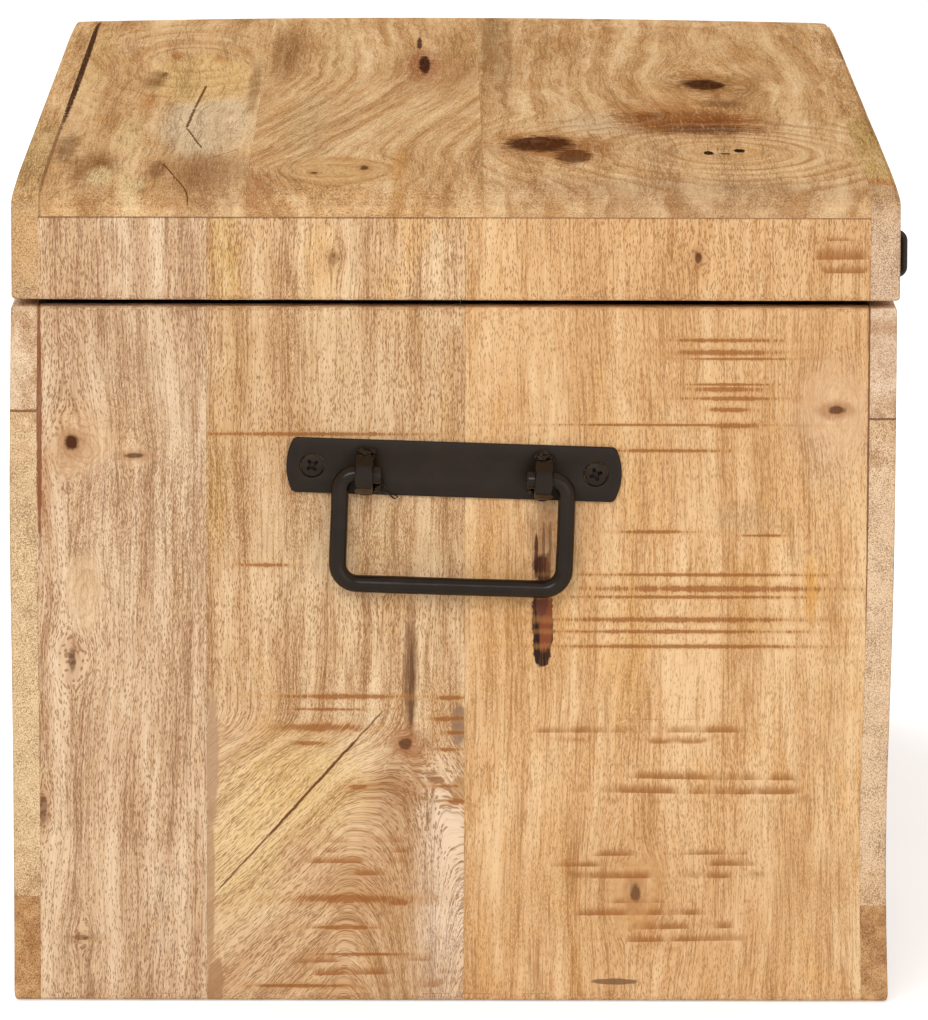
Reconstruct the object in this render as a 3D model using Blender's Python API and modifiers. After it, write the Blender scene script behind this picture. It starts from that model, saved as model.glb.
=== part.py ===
"""Wooden chest with a hinged lid, a hasp and two drop handles.

Metres, +Z up. X runs along the chest, the front with the hasp faces -Y,
and the origin lies on the floor under the middle of the bottom.
"""

from math import asin, cos, degrees, pi, radians, sin, sqrt

import bmesh
import bpy
from mathutils import Matrix, Vector

# driving dimensions
LENGTH = 0.800
WIDTH = 0.400
WALL = 0.012
GAP = 0.0003
SEAM_Z = 0.3190
LID_BOTTOM_Z = 0.3220
LID_END_TOP_Z = 0.3600
LID_EDGE_Z = 0.3722
CROWN = 0.0031
LID_FRONT_OVERHANG = 0.0012
END_ROUND = 0.012
END_SLOPE_LENGTH = 0.100
END_FIRST_RISE = 0.10
END_KNEE_RISE = 0.80
LONG_EDGE_RADIUS = 0.0025
BOARD_BEVEL = 0.0010
LID_BOARD_BEVEL = 0.0007
SHARP_ANGLE = radians(35)

# joints between boards, as seen on the left end and the top
END_JOINTS_Y = (0.112, -0.005)
TOP_JOINTS_Y = (0.094, -0.013)
FRONT_JOINTS_Z = (0.0444, 0.2679)
BACK_JOINTS_Z = (0.0481, 0.2707)
BOTTOM_JOINT_Y = 0.035

# end handles
HANDLE_Z = 0.2451
HANDLE_TILT = radians(1.75)
PLATE_LENGTH = 0.1518
PLATE_HEIGHT = 0.025
PLATE_BULGE = 0.0032
PLATE_THICKNESS = 0.002
HANDLE_SCREW_SPACING = 0.1283
PIVOT_DROP = 0.0022
NUT_ACROSS_FLATS = 0.016
NUT_THICKNESS = 0.0084
NUT_OFFSET = 0.0406
NUT_BORE_RADIUS = 0.00435
BAIL_ROD_RADIUS = 0.004
BAIL_HALF_WIDTH = 0.0513
BAIL_DROP = 0.0499
BAIL_ROD_END = 0.0327
BAIL_TOP_BEND = 0.006
BAIL_CORNER_BEND = 0.008
PLATE_EDGE = 0.0004

# screws: head radius, depth of the countersink, shank radius, length, sides
HANDLE_SCREW = (0.0052, 0.0016, 0.0021, 0.0098, 14)
HANDLE_SCREW_DOME = 0.0009
SMALL_SCREW = (0.0034, 0.0014, 0.0014, 0.0090, 10)
SMALL_SCREW_DOME = 0.0005
HOLE_RISE = 0.004

# hinges on the back
HINGE_X = 0.180
HINGE_LENGTH = 0.050
LEAF_HEIGHT = 0.028
LEAF_THICKNESS = 0.002
KNUCKLE_RADIUS = 0.0036
HINGE_AXIS_Y = WIDTH / 2 + 0.0040
HINGE_AXIS_Z = (SEAM_Z + LID_BOTTOM_Z) / 2
HINGE_PIN_RADIUS = 0.0016
PIN_CLEARANCE = 0.0003
KNUCKLE_COUNT = 5
HINGE_RELIEF = 0.0004
TAB_START = 0.0002
TAB_OVERLAP = 0.0003
LEAF_SCREW_SPREAD = 0.028
LEAF_SCREW_DROP = 0.017
LEAF_CORNER = 0.004
PIN_EXTRA = 0.0016
PIN_EDGE = 0.0004
BARREL_SIDES = 14

# hasp on the front
HASP_AXIS_Y = -WIDTH / 2 - 0.0060
HASP_AXIS_Z = 0.3280
HASP_WIDTH = 0.030
HASP_PLATE_WIDTH = 0.044
HASP_PLATE_HEIGHT = 0.030
HASP_KNUCKLE_RADIUS = 0.0034
HASP_PIN_RADIUS = 0.0015
HASP_RELIEF = 0.0008
STRAP_THICKNESS = 0.0025
STRAP_LENGTH = 0.0590
STRAP_KNUCKLE = 0.0114
STRAP_CORNER = 0.009
HASP_PLATE_CORNER = 0.005
HASP_SCREW_X = 0.0140
HASP_SCREW_RISE = 0.0200
SLOT_WIDTH = 0.0075
SLOT_TOP = 0.0165
SLOT_BOTTOM = 0.0505
SLOT_CORNER = 0.003
STAPLE_TOP_Z = 0.3064
STAPLE_HEIGHT = 0.0240
STAPLE_REACH = 0.0245
STAPLE_BAR_RADIUS = 0.00225
STAPLE_BEND = 0.0032
STAPLE_DEPTH = 0.0080
STAPLE_PLATE_WIDTH = 0.038
STAPLE_PLATE_HEIGHT = 0.034
STAPLE_PLATE_CORNER = 0.004
STAPLE_SCREW_X = 0.0125

CHEST = "wooden_chest"
MERGE = 0.00001
THROUGH = 0.080


def clear_scene():
    for obj in list(bpy.data.objects):
        bpy.data.objects.remove(obj, do_unlink=True)


def new_collection(name):
    collection = bpy.data.collections.new(name)
    bpy.context.scene.collection.children.link(collection)
    return collection


def principled(name, color, roughness, metallic=0.0):
    material = bpy.data.materials.new(name)
    material.use_nodes = True
    shader = material.node_tree.nodes["Principled BSDF"]
    shader.inputs["Base Color"].default_value = (*color, 1.0)
    shader.inputs["Roughness"].default_value = roughness
    shader.inputs["Metallic"].default_value = metallic
    material.diffuse_color = (*color, 1.0)
    return material


def object_from_bmesh(name, bm, collection, material=None):
    bmesh.ops.recalc_face_normals(bm, faces=bm.faces)
    mesh = bpy.data.meshes.new(name)
    bm.to_mesh(mesh)
    bm.free()
    obj = bpy.data.objects.new(name, mesh)
    collection.objects.link(obj)
    if material:
        mesh.materials.append(material)
    return obj


def helper(obj):
    """Marks an object that only shapes another one."""
    obj.hide_render = True
    obj.display_type = "WIRE"
    return obj


def add_box(bm, low, high):
    low, high = Vector(low), Vector(high)
    size = Matrix.Diagonal((high - low).to_4d())
    size[3][3] = 1.0
    bmesh.ops.create_cube(bm, size=1.0, matrix=Matrix.Translation((low + high) / 2) @ size)


def add_cylinder(bm, center, axis, radius, length, sides=16, end_radius=None):
    turn = Vector((0, 0, 1)).rotation_difference(Vector(axis)).to_matrix().to_4x4()
    bmesh.ops.create_cone(
        bm,
        cap_ends=True,
        segments=sides,
        radius1=radius,
        radius2=radius if end_radius is None else end_radius,
        depth=length,
        matrix=Matrix.Translation(center) @ turn,
    )


def boolean(obj, other, operation):
    modifier = obj.modifiers.new(f"{operation.lower()} {other.name}", "BOOLEAN")
    modifier.operation = operation
    modifier.object = other
    modifier.solver = "EXACT"


def cylinders(name, places, axis, radius, length, sides=12):
    """One helper object that holds a cylinder at each place."""
    bm = bmesh.new()
    for place in places:
        add_cylinder(bm, place, axis, radius, length, sides)
    return helper(object_from_bmesh(name, bm, cutters))


def smooth(obj):
    obj.data.shade_smooth()
    obj.data.set_sharp_from_angle(angle=SHARP_ANGLE)


def bevel(obj, width, segments=1, angle=30):
    modifier = obj.modifiers.new("worn edges", "BEVEL")
    modifier.width = width
    modifier.segments = segments
    modifier.limit_method = "ANGLE"
    modifier.angle_limit = radians(angle)


def board(name, low, high, material, width=BOARD_BEVEL):
    """A straight board between two corners, with its origin at its centre."""
    low, high = Vector(low), Vector(high)
    center = (low + high) / 2
    bm = bmesh.new()
    add_box(bm, low - center, high - center)
    obj = object_from_bmesh(name, bm, parts, material)
    obj.location = center
    bevel(obj, width)
    return obj


def joined_spans(low, high, joints):
    """Spans between joints, each drawn in by half a gap where boards meet."""
    edges = [low, *sorted(joints), high]
    spans = []
    for index, (start, end) in enumerate(zip(edges, edges[1:])):
        start += GAP / 2 if index else 0
        end -= GAP / 2 if index < len(edges) - 2 else 0
        spans.append((start, end))
    return spans


def end_fraction(from_end):
    """How far the lid's top has risen at a distance from its rounded end."""
    first, knee = END_FIRST_RISE, END_KNEE_RISE
    if from_end < END_ROUND:
        rise = sqrt(1 - (1 - from_end / END_ROUND) ** 2)
        return first + (knee - first) * rise
    along = min(1.0, (from_end - END_ROUND) / (END_SLOPE_LENGTH - END_ROUND))
    return knee + (1 - knee) * (1 - (1 - along) ** 2)


def lid_top_z(x, y):
    """Height of the lid's top: crowned across, sloped and rounded at both ends."""
    across = abs(y) / (WIDTH / 2)
    full = LID_EDGE_Z + CROWN * (1 - across**2)
    from_edge = max(0.0, WIDTH / 2 - abs(y))
    if from_edge < LONG_EDGE_RADIUS:
        inward = LONG_EDGE_RADIUS - from_edge
        full -= LONG_EDGE_RADIUS - sqrt(LONG_EDGE_RADIUS**2 - inward**2)
    rise = end_fraction(LENGTH / 2 - abs(x))
    return LID_END_TOP_Z + (full - LID_END_TOP_Z) * rise


def crowned_board(name, stations_y, bottom_z, material):
    """A lengthwise board whose upper side follows the lid's top."""
    round_shares = (0, 0.067, 0.25, 0.54, 1)
    from_end = [END_ROUND * share for share in round_shares] + [END_SLOPE_LENGTH * 0.45, END_SLOPE_LENGTH]
    stations_x = [d - LENGTH / 2 for d in from_end]
    stations_x += [-x for x in reversed(stations_x)]
    bm = bmesh.new()
    bmesh.ops.create_grid(bm, x_segments=len(stations_x) - 1, y_segments=len(stations_y) - 1, size=0.5)
    for vert in bm.verts:
        column = round((vert.co.x + 0.5) * (len(stations_x) - 1))
        row = round((vert.co.y + 0.5) * (len(stations_y) - 1))
        x, y = stations_x[column], stations_y[row]
        vert.co = (x, max(-WIDTH / 2 - LID_FRONT_OVERHANG, y), lid_top_z(x, y))
    under = bmesh.ops.extrude_face_region(bm, geom=bm.faces[:])["geom"]
    for vert in (g for g in under if isinstance(g, bmesh.types.BMVert)):
        vert.co.z = bottom_z
    bmesh.ops.dissolve_limit(bm, angle_limit=0.0005, verts=bm.verts, edges=bm.edges)
    obj = object_from_bmesh(name, bm, parts, material)
    smooth(obj)
    return obj


def flat_plate(name, outline, thickness, collection, material=None):
    """A plate from a closed outline in its own XY plane, from z = 0 upwards."""
    curve = bpy.data.curves.new(name, "CURVE")
    curve.dimensions = "2D"
    curve.fill_mode = "BOTH"
    curve.extrude = thickness / 2
    spline = curve.splines.new("POLY")
    spline.points.add(len(outline) - 1)
    for point, (x, y) in zip(spline.points, outline):
        point.co = (x, y, 0, 1)
    spline.use_cyclic_u = True
    drawn = bpy.data.objects.new(name + " outline", curve)
    collection.objects.link(drawn)
    bpy.context.view_layer.update()
    evaluated = drawn.evaluated_get(bpy.context.evaluated_depsgraph_get())
    mesh = bpy.data.meshes.new_from_object(evaluated)
    bpy.data.objects.remove(drawn, do_unlink=True)
    bm = bmesh.new()
    bm.from_mesh(mesh)
    bpy.data.meshes.remove(mesh)
    bmesh.ops.remove_doubles(bm, verts=bm.verts, dist=MERGE)
    bmesh.ops.translate(bm, verts=bm.verts, vec=(0, 0, thickness / 2))
    return object_from_bmesh(name, bm, collection, material)


def arc(center, radius, start, end, steps):
    """Points on an arc, both ends included, angles in degrees."""
    points = []
    for step in range(steps + 1):
        angle = radians(start + (end - start) * step / steps)
        points.append((center[0] + radius * cos(angle), center[1] + radius * sin(angle)))
    return points


def rounded_rectangle(width, height, radius, steps=4):
    x, y = width / 2 - radius, height / 2 - radius
    outline = []
    for cx, cy, start in ((x, y, 0), (-x, y, 90), (-x, -y, 180), (x, -y, 270)):
        outline += arc((cx, cy), radius, start, start + 90, steps)
    return outline


def cross_cutter(name, width, slot, top, bottom):
    """The plus-shaped recess of a cross-head screw, between two heights."""
    tip, wing = width / 2, slot / 2
    heel = wing * 1.3
    quarter = [(tip, wing), (heel, heel), (wing, tip)]
    outline = []
    for turn in range(4):
        for x, y in quarter:
            for _ in range(turn):
                x, y = -y, x
            outline.append((x, y))
    obj = flat_plate(name, outline, top - bottom, cutters)
    obj.data.transform(Matrix.Translation((0, 0, bottom)))
    return helper(obj)


def screw(name, frame, size, dome, material):
    """A countersunk wood screw with a low dome: its head lies at z = 0, its shank runs down."""
    head_radius, sink, shank_radius, length, steps = size
    profile = [
        (0, dome),
        (head_radius * 0.55, dome * 0.72),
        (head_radius, 0),
        (head_radius, -GAP),
        (shank_radius, -sink),
        (shank_radius, -length * 0.8),
        (0, -length),
    ]
    mesh = bpy.data.meshes.new(name)
    mesh.from_pydata([(r, 0, z) for r, z in profile], [(i, i + 1) for i in range(len(profile) - 1)], [])
    mesh.materials.append(material)
    obj = bpy.data.objects.new(name, mesh)
    parts.objects.link(obj)
    obj.matrix_world = frame
    turned = obj.modifiers.new("turned", "SCREW")
    turned.steps = steps
    turned.render_steps = steps
    turned.use_merge_vertices = True
    turned.use_smooth_shade = True
    turned.merge_threshold = MERGE
    recess = cross_cutter(name + " recess", head_radius * 1.25, head_radius * 0.24, dome + 0.001, -sink / 2)
    recess.matrix_world = frame
    boolean(obj, recess, "DIFFERENCE")
    return obj


def screw_hole(name, frame, size):
    """The countersunk hole that takes the screw, a gap wider all round."""
    head_radius, sink, shank_radius, length, steps = size
    profile = [
        (0, HOLE_RISE),
        (head_radius + GAP, HOLE_RISE),
        (head_radius + GAP, -GAP * 2),
        (shank_radius + GAP, -sink - GAP),
        (shank_radius + GAP, -length - GAP),
        (0, -length - GAP),
    ]
    mesh = bpy.data.meshes.new(name)
    mesh.from_pydata([(r, 0, z) for r, z in profile], [(i, i + 1) for i in range(len(profile) - 1)], [])
    obj = helper(bpy.data.objects.new(name, mesh))
    cutters.objects.link(obj)
    obj.matrix_world = frame
    turned = obj.modifiers.new("turned", "SCREW")
    turned.steps = steps
    turned.render_steps = steps
    turned.use_merge_vertices = True
    turned.merge_threshold = MERGE
    return obj


def facing(origin, normal, up=(0, 0, 1)):
    """A frame at origin whose z points along normal and whose y points up."""
    z = Vector(normal).normalized()
    x = Vector(up).cross(z).normalized()
    y = z.cross(x)
    frame = Matrix((x, y, z)).transposed().to_4x4()
    frame.translation = origin
    return frame


# the body

def make_body(pale, warm, tan):
    half, inner = LENGTH / 2, LENGTH / 2 - WALL
    side = WIDTH / 2 - WALL
    for end, sign in (("left", -1), ("right", 1)):
        spans = joined_spans(-side + GAP, side - GAP, END_JOINTS_Y)
        for place, (low, high), material in zip(("front", "middle", "rear"), spans, (warm, pale, tan)):
            x = sorted((sign * half, sign * inner))
            name = f"{end}_end_board_{place}"
            boards[name] = board(name, (x[0], low, 0), (x[1], high, SEAM_Z), material)
    for wall, sign, joints in (("front", -1, FRONT_JOINTS_Z), ("back", 1, BACK_JOINTS_Z)):
        spans = joined_spans(0, SEAM_Z, joints)
        for place, (low, high), material in zip(("lower", "middle", "upper"), spans, (tan, pale, warm)):
            y = sorted((sign * WIDTH / 2, sign * side))
            name = f"{wall}_board_{place}"
            boards[name] = board(name, (-half, y[0], low), (half, y[1], high), material)
    floor = joined_spans(-side + GAP, side - GAP, (BOTTOM_JOINT_Y,))
    for place, (low, high) in zip(("front", "rear"), floor):
        x = inner - GAP
        name = f"bottom_board_{place}"
        boards[name] = board(name, (-x, low, 0), (x, high, WALL), tan)


# the lid

def make_lid(pale, warm, tan):
    half, inner = LENGTH / 2, LENGTH / 2 - WALL
    side = WIDTH / 2 - WALL
    for end, sign in (("left", -1), ("right", 1)):
        spans = joined_spans(-side + GAP, side - GAP, END_JOINTS_Y)
        for place, (low, high), material in zip(("front", "middle", "rear"), spans, (warm, pale, tan)):
            x = sorted((sign * half, sign * inner))
            name = f"lid_{end}_end_{place}"
            top = LID_END_TOP_Z - GAP
            low_corner, high_corner = (x[0], low, LID_BOTTOM_Z), (x[1], high, top)
            boards[name] = board(name, low_corner, high_corner, material, LID_BOARD_BEVEL)
    edge = WIDTH / 2
    rail = (edge, edge - LONG_EDGE_RADIUS / 3, edge - LONG_EDGE_RADIUS, side)
    front = [-edge - LID_FRONT_OVERHANG] + [-y for y in rail[1:]]
    boards["lid_front_board"] = crowned_board("lid_front_board", front, LID_BOTTOM_Z, warm)
    back = sorted(rail)
    boards["lid_back_board"] = crowned_board("lid_back_board", back, LID_BOTTOM_Z, tan)
    spans = joined_spans(-side + GAP, side - GAP, TOP_JOINTS_Y)
    for place, (low, high), material in zip(("front", "middle", "rear"), spans, (warm, pale, tan)):
        steps = 4
        stations = [low + (high - low) * step / steps for step in range(steps + 1)]
        name = f"lid_top_board_{place}"
        boards[name] = crowned_board(name, stations, LID_END_TOP_Z, material)


# the end handles

def handle_screw_frames(frame):
    for side, sign in (("rear", 1), ("front", -1)):
        yield side, frame @ Matrix.Translation((sign * HANDLE_SCREW_SPACING / 2, 0, PLATE_THICKNESS))


def plate_outline():
    """Long straight sides and ends that bulge outwards as shallow arcs."""
    half = PLATE_HEIGHT / 2
    radius = (half**2 + PLATE_BULGE**2) / (2 * PLATE_BULGE)
    sweep = degrees(asin(half / radius))
    right = arc((PLATE_LENGTH / 2 - radius, 0), radius, -sweep, sweep, 6)
    left = [(-x, -y) for x, y in right]
    return right + left


def bail_points():
    """Centre line of one half of the bail, in its own plane, from the rod's end to the middle."""
    side, drop = BAIL_HALF_WIDTH, BAIL_DROP
    top, corner = BAIL_TOP_BEND, BAIL_CORNER_BEND
    points = [(BAIL_ROD_END, 0)]
    points += arc((side - top, -top), top, 90, 0, 5)
    points += arc((side - corner, -drop + corner), corner, 0, -90, 6)
    return points


def make_handle(end, sign, tilt, iron):
    """One end handle. Its frame's x runs along the plate to the back, its z out of the wall."""
    along = Vector((0, cos(tilt), sin(tilt)))
    up = Vector((0, -sin(tilt), cos(tilt)))
    out = Vector((sign, 0, 0))
    wall = sign * (LENGTH / 2 + GAP)
    frame = Matrix((along, up, out)).transposed().to_4x4()
    frame.translation = (wall, 0, HANDLE_Z)

    plate = flat_plate(f"{end}_handle_plate", plate_outline(), PLATE_THICKNESS, parts, iron)
    plate.matrix_world = frame
    bevel(plate, PLATE_EDGE, angle=50)

    nut_height = PLATE_THICKNESS + GAP + NUT_ACROSS_FLATS / 2
    pivot = frame @ Vector((0, -PIVOT_DROP, nut_height))
    for side, nut_sign in (("rear", 1), ("front", -1)):
        bm = bmesh.new()
        add_cylinder(bm, (0, 0, 0), (0, 0, 1), NUT_ACROSS_FLATS / 2 / cos(pi / 6), NUT_THICKNESS, 6)
        bmesh.ops.rotate(bm, verts=bm.verts, cent=(0, 0, 0), matrix=Matrix.Rotation(pi / 6, 3, "Z"))
        nut = object_from_bmesh(f"{end}_handle_nut_{side}", bm, parts, iron)
        bm = bmesh.new()
        wide, flat = NUT_ACROSS_FLATS * 0.60, NUT_ACROSS_FLATS * 0.485
        for z, low, high in ((-1, flat, wide), (1, wide, flat)):
            depth = NUT_THICKNESS / 2
            add_cylinder(bm, (0, 0, z * depth / 2), (0, 0, 1), low, depth, 18, high)
        bmesh.ops.remove_doubles(bm, verts=bm.verts, dist=MERGE)
        middle = [f for f in bm.faces if abs(f.normal.z) > 0.9 and abs(f.calc_center_median().z) < 1e-5]
        bmesh.ops.delete(bm, geom=middle, context="FACES_ONLY")
        chamfer = helper(object_from_bmesh(f"{end} nut chamfer {side}", bm, cutters))
        bore = cylinders(f"{end} nut bore {side}", [(0, 0, 0)], (0, 0, 1), NUT_BORE_RADIUS, THROUGH, 16)
        turn = Matrix((up, out, along)).transposed().to_4x4()
        turn.translation = pivot + along * nut_sign * NUT_OFFSET
        for obj in (nut, chamfer, bore):
            obj.matrix_world = turn
        boolean(nut, chamfer, "INTERSECT")
        boolean(nut, bore, "DIFFERENCE")

    curve = bpy.data.curves.new(f"{end}_handle_bail", "CURVE")
    curve.dimensions = "3D"
    curve.bevel_depth = BAIL_ROD_RADIUS
    curve.bevel_resolution = 3
    curve.use_fill_caps = True
    half = bail_points()
    points = half + [(-x, y) for x, y in reversed(half)]
    spline = curve.splines.new("POLY")
    spline.points.add(len(points) - 1)
    for point, (x, y) in zip(spline.points, points):
        point.co = (x, y, 0, 1)
    curve.materials.append(iron)
    bail = bpy.data.objects.new(f"{end}_handle_bail", curve)
    parts.objects.link(bail)
    bail.matrix_world = frame
    bail.location = pivot

    wood = {"rear": "middle", "front": "front"}
    for side, place in handle_screw_frames(frame):
        name = f"{end}_handle_screw_{side}"
        screw(name, place, HANDLE_SCREW, HANDLE_SCREW_DOME, iron)
        hole = screw_hole(f"{name} hole", place, HANDLE_SCREW)
        boolean(plate, hole, "DIFFERENCE")
        boolean(boards[f"{end}_end_board_{wood[side]}"], hole, "DIFFERENCE")


# knuckled leaves, for the hinges and the hasp

def knuckle_spans(length, count):
    pitch = length / count
    start = -length / 2
    return [(start + i * pitch + GAP / 2, start + (i + 1) * pitch - GAP / 2) for i in range(count)]


def add_knuckles(leaf, spans, center, radius, tab_low, tab_high):
    """Joins knuckle barrels and their tabs to a leaf. Spans run along X."""
    bm = bmesh.new()
    for start, end in spans:
        middle = (center[0] + (start + end) / 2, center[1], center[2])
        add_cylinder(bm, middle, (1, 0, 0), radius, end - start, BARREL_SIDES)
    boolean(leaf, helper(object_from_bmesh(f"{leaf.name} barrels", bm, cutters)), "UNION")
    bm = bmesh.new()
    for start, end in spans:
        low = (center[0] + start, tab_low[0], tab_low[1])
        high = (center[0] + end, tab_high[0], tab_high[1])
        add_box(bm, low, high)
    boolean(leaf, helper(object_from_bmesh(f"{leaf.name} tabs", bm, cutters)), "UNION")


def small_screw(name, place, iron, wood, leaf):
    screw(name, place, SMALL_SCREW, SMALL_SCREW_DOME, iron)
    hole = screw_hole(f"{name} hole", place, SMALL_SCREW)
    boolean(leaf, hole, "DIFFERENCE")
    boolean(wood, hole, "DIFFERENCE")


def make_hinge(side, x, iron):
    center = (x, HINGE_AXIS_Y, HINGE_AXIS_Z)
    face = WIDTH / 2 + GAP
    spans = knuckle_spans(HINGE_LENGTH, KNUCKLE_COUNT)
    reach = KNUCKLE_RADIUS + HINGE_RELIEF
    bore = cylinders(f"{side} hinge bore", [center], (1, 0, 0), HINGE_PIN_RADIUS + PIN_CLEARANCE, THROUGH)
    wide = HINGE_LENGTH / 2 - GAP / 2
    for part, sign, own, wood in (
        ("body", -1, spans[0::2], boards["back_board_upper"]),
        ("lid", 1, spans[1::2], boards["lid_back_board"]),
    ):
        z = sorted((HINGE_AXIS_Z + sign * reach, HINGE_AXIS_Z + sign * LEAF_HEIGHT))
        bm = bmesh.new()
        add_box(bm, (x - wide, face, z[0]), (x + wide, face + LEAF_THICKNESS, z[1]))
        upright = [e for e in bm.edges if abs((e.verts[0].co - e.verts[1].co).normalized().y) > 0.9]
        far = [e for e in upright if abs(e.verts[0].co.z - HINGE_AXIS_Z) > reach * 2]
        bmesh.ops.bevel(bm, geom=far, offset=LEAF_CORNER, segments=3, profile=0.5, affect="EDGES")
        leaf = object_from_bmesh(f"{side}_hinge_{part}_leaf", bm, parts, iron)
        tab = sorted((HINGE_AXIS_Z + sign * TAB_START, HINGE_AXIS_Z + sign * (reach + TAB_OVERLAP)))
        add_knuckles(leaf, own, center, KNUCKLE_RADIUS, (face, tab[0]), (face + LEAF_THICKNESS, tab[1]))
        boolean(leaf, bore, "DIFFERENCE")
        for place, offset in (("outer", -1), ("inner", 1)):
            at_x, at_z = x + offset * LEAF_SCREW_SPREAD / 2, HINGE_AXIS_Z + sign * LEAF_SCREW_DROP
            at = (at_x, face + LEAF_THICKNESS, at_z)
            small_screw(f"{side}_hinge_{part}_screw_{place}", facing(at, (0, 1, 0)), iron, wood, leaf)
    bm = bmesh.new()
    add_cylinder(bm, (0, 0, 0), (1, 0, 0), HINGE_PIN_RADIUS, HINGE_LENGTH + PIN_EXTRA, BARREL_SIDES)
    pin = object_from_bmesh(f"{side}_hinge_pin", bm, parts, iron)
    pin.location = center
    smooth(pin)
    bevel(pin, PIN_EDGE, angle=60)


# the hasp

def make_hasp(iron):
    center = (0, HASP_AXIS_Y, HASP_AXIS_Z)
    face = -WIDTH / 2 - LID_FRONT_OVERHANG - GAP
    reach = HASP_KNUCKLE_RADIUS + HASP_RELIEF
    bore = cylinders("hasp bore", [center], (1, 0, 0), HASP_PIN_RADIUS + PIN_CLEARANCE, THROUGH)

    wide, top = HASP_PLATE_WIDTH / 2, HASP_AXIS_Z + HASP_PLATE_HEIGHT
    bm = bmesh.new()
    add_box(bm, (-wide, face - LEAF_THICKNESS, HASP_AXIS_Z + reach), (wide, face, top))
    upright = [e for e in bm.edges if abs((e.verts[0].co - e.verts[1].co).normalized().y) > 0.9]
    upper = [e for e in upright if e.verts[0].co.z > HASP_AXIS_Z + reach * 2]
    bmesh.ops.bevel(bm, geom=upper, offset=HASP_PLATE_CORNER, segments=4, profile=0.5, affect="EDGES")
    plate = object_from_bmesh("hasp_plate", bm, parts, iron)
    outer = HASP_WIDTH / 2
    inner = STRAP_KNUCKLE / 2 + GAP
    own = ((-outer, -inner), (inner, outer))
    tab_low = (face - LEAF_THICKNESS, HASP_AXIS_Z + TAB_START)
    tab_high = (face, HASP_AXIS_Z + reach + TAB_OVERLAP)
    add_knuckles(plate, own, center, HASP_KNUCKLE_RADIUS, tab_low, tab_high)
    boolean(plate, bore, "DIFFERENCE")
    for place, sign in (("left", -1), ("right", 1)):
        at = (sign * HASP_SCREW_X, face - LEAF_THICKNESS, HASP_AXIS_Z + HASP_SCREW_RISE)
        small_screw(f"hasp_screw_{place}", facing(at, (0, -1, 0)), iron, boards["lid_front_board"], plate)

    bottom, radius = -STRAP_LENGTH, STRAP_CORNER
    edge = HASP_WIDTH / 2
    outline = [(-edge, -reach), (-edge, bottom + radius)]
    outline += arc((-edge + radius, bottom + radius), radius, 180, 270, 5)[1:]
    outline += arc((edge - radius, bottom + radius), radius, 270, 360, 5)
    outline += [(edge, -reach)]
    strap = flat_plate("hasp_strap", outline, STRAP_THICKNESS, parts, iron)
    strap.data.transform(Matrix.Translation((0, 0, -STRAP_THICKNESS / 2)))
    strap.matrix_world = facing(center, (0, -1, 0))
    middle = ((-STRAP_KNUCKLE / 2, STRAP_KNUCKLE / 2),)
    tab_low = (HASP_AXIS_Y - STRAP_THICKNESS / 2, HASP_AXIS_Z - reach - TAB_OVERLAP)
    tab_high = (HASP_AXIS_Y + STRAP_THICKNESS / 2, HASP_AXIS_Z - TAB_START)
    add_knuckles(strap, middle, center, HASP_KNUCKLE_RADIUS, tab_low, tab_high)
    boolean(strap, bore, "DIFFERENCE")
    slot_height = SLOT_BOTTOM - SLOT_TOP
    slot = flat_plate("hasp slot", rounded_rectangle(SLOT_WIDTH, slot_height, SLOT_CORNER), 0.01, cutters)
    slot.data.transform(Matrix.Translation((0, -(SLOT_TOP + SLOT_BOTTOM) / 2, -0.005)))
    slot.matrix_world = facing(center, (0, -1, 0))
    boolean(strap, helper(slot), "DIFFERENCE")

    bm = bmesh.new()
    add_cylinder(bm, (0, 0, 0), (1, 0, 0), HASP_PIN_RADIUS, HASP_WIDTH + PIN_EXTRA, BARREL_SIDES)
    pin = object_from_bmesh("hasp_pin", bm, parts, iron)
    pin.location = center
    smooth(pin)
    bevel(pin, PIN_EDGE, angle=60)

    body_face = -WIDTH / 2 - GAP
    loop_z = STAPLE_TOP_Z - STAPLE_HEIGHT / 2
    outline = rounded_rectangle(STAPLE_PLATE_WIDTH, STAPLE_PLATE_HEIGHT, STAPLE_PLATE_CORNER)
    base = flat_plate("staple_plate", outline, LEAF_THICKNESS, parts, iron)
    base.matrix_world = facing((0, body_face, loop_z), (0, -1, 0))
    front = boards["front_board_upper"]
    for place, sign in (("left", -1), ("right", 1)):
        at = (sign * STAPLE_SCREW_X, body_face - LEAF_THICKNESS, loop_z)
        small_screw(f"staple_screw_{place}", facing(at, (0, -1, 0)), iron, front, base)

    leg = STAPLE_HEIGHT / 2 - STAPLE_BAR_RADIUS
    out = STAPLE_REACH - STAPLE_BAR_RADIUS
    half = [(-STAPLE_DEPTH, leg)] + arc((out - STAPLE_BEND, leg - STAPLE_BEND), STAPLE_BEND, 90, 0, 5)
    points = half + [(x, -z) for x, z in reversed(half)]
    curve = bpy.data.curves.new("staple", "CURVE")
    curve.dimensions = "3D"
    curve.bevel_depth = STAPLE_BAR_RADIUS
    curve.bevel_resolution = 3
    curve.use_fill_caps = True
    spline = curve.splines.new("POLY")
    spline.points.add(len(points) - 1)
    for point, (x, z) in zip(spline.points, points):
        point.co = (0, -x, z, 1)
    curve.materials.append(iron)
    staple = bpy.data.objects.new("staple", curve)
    parts.objects.link(staple)
    staple.location = (0, -WIDTH / 2, loop_z)
    legs = [(0, -WIDTH / 2, loop_z + s * leg) for s in (-1, 1)]
    depth = 2 * (STAPLE_DEPTH + GAP)
    holes = cylinders("staple leg holes", legs, (0, 1, 0), STAPLE_BAR_RADIUS + GAP, depth)
    boolean(base, holes, "DIFFERENCE")
    boolean(front, holes, "DIFFERENCE")


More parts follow.
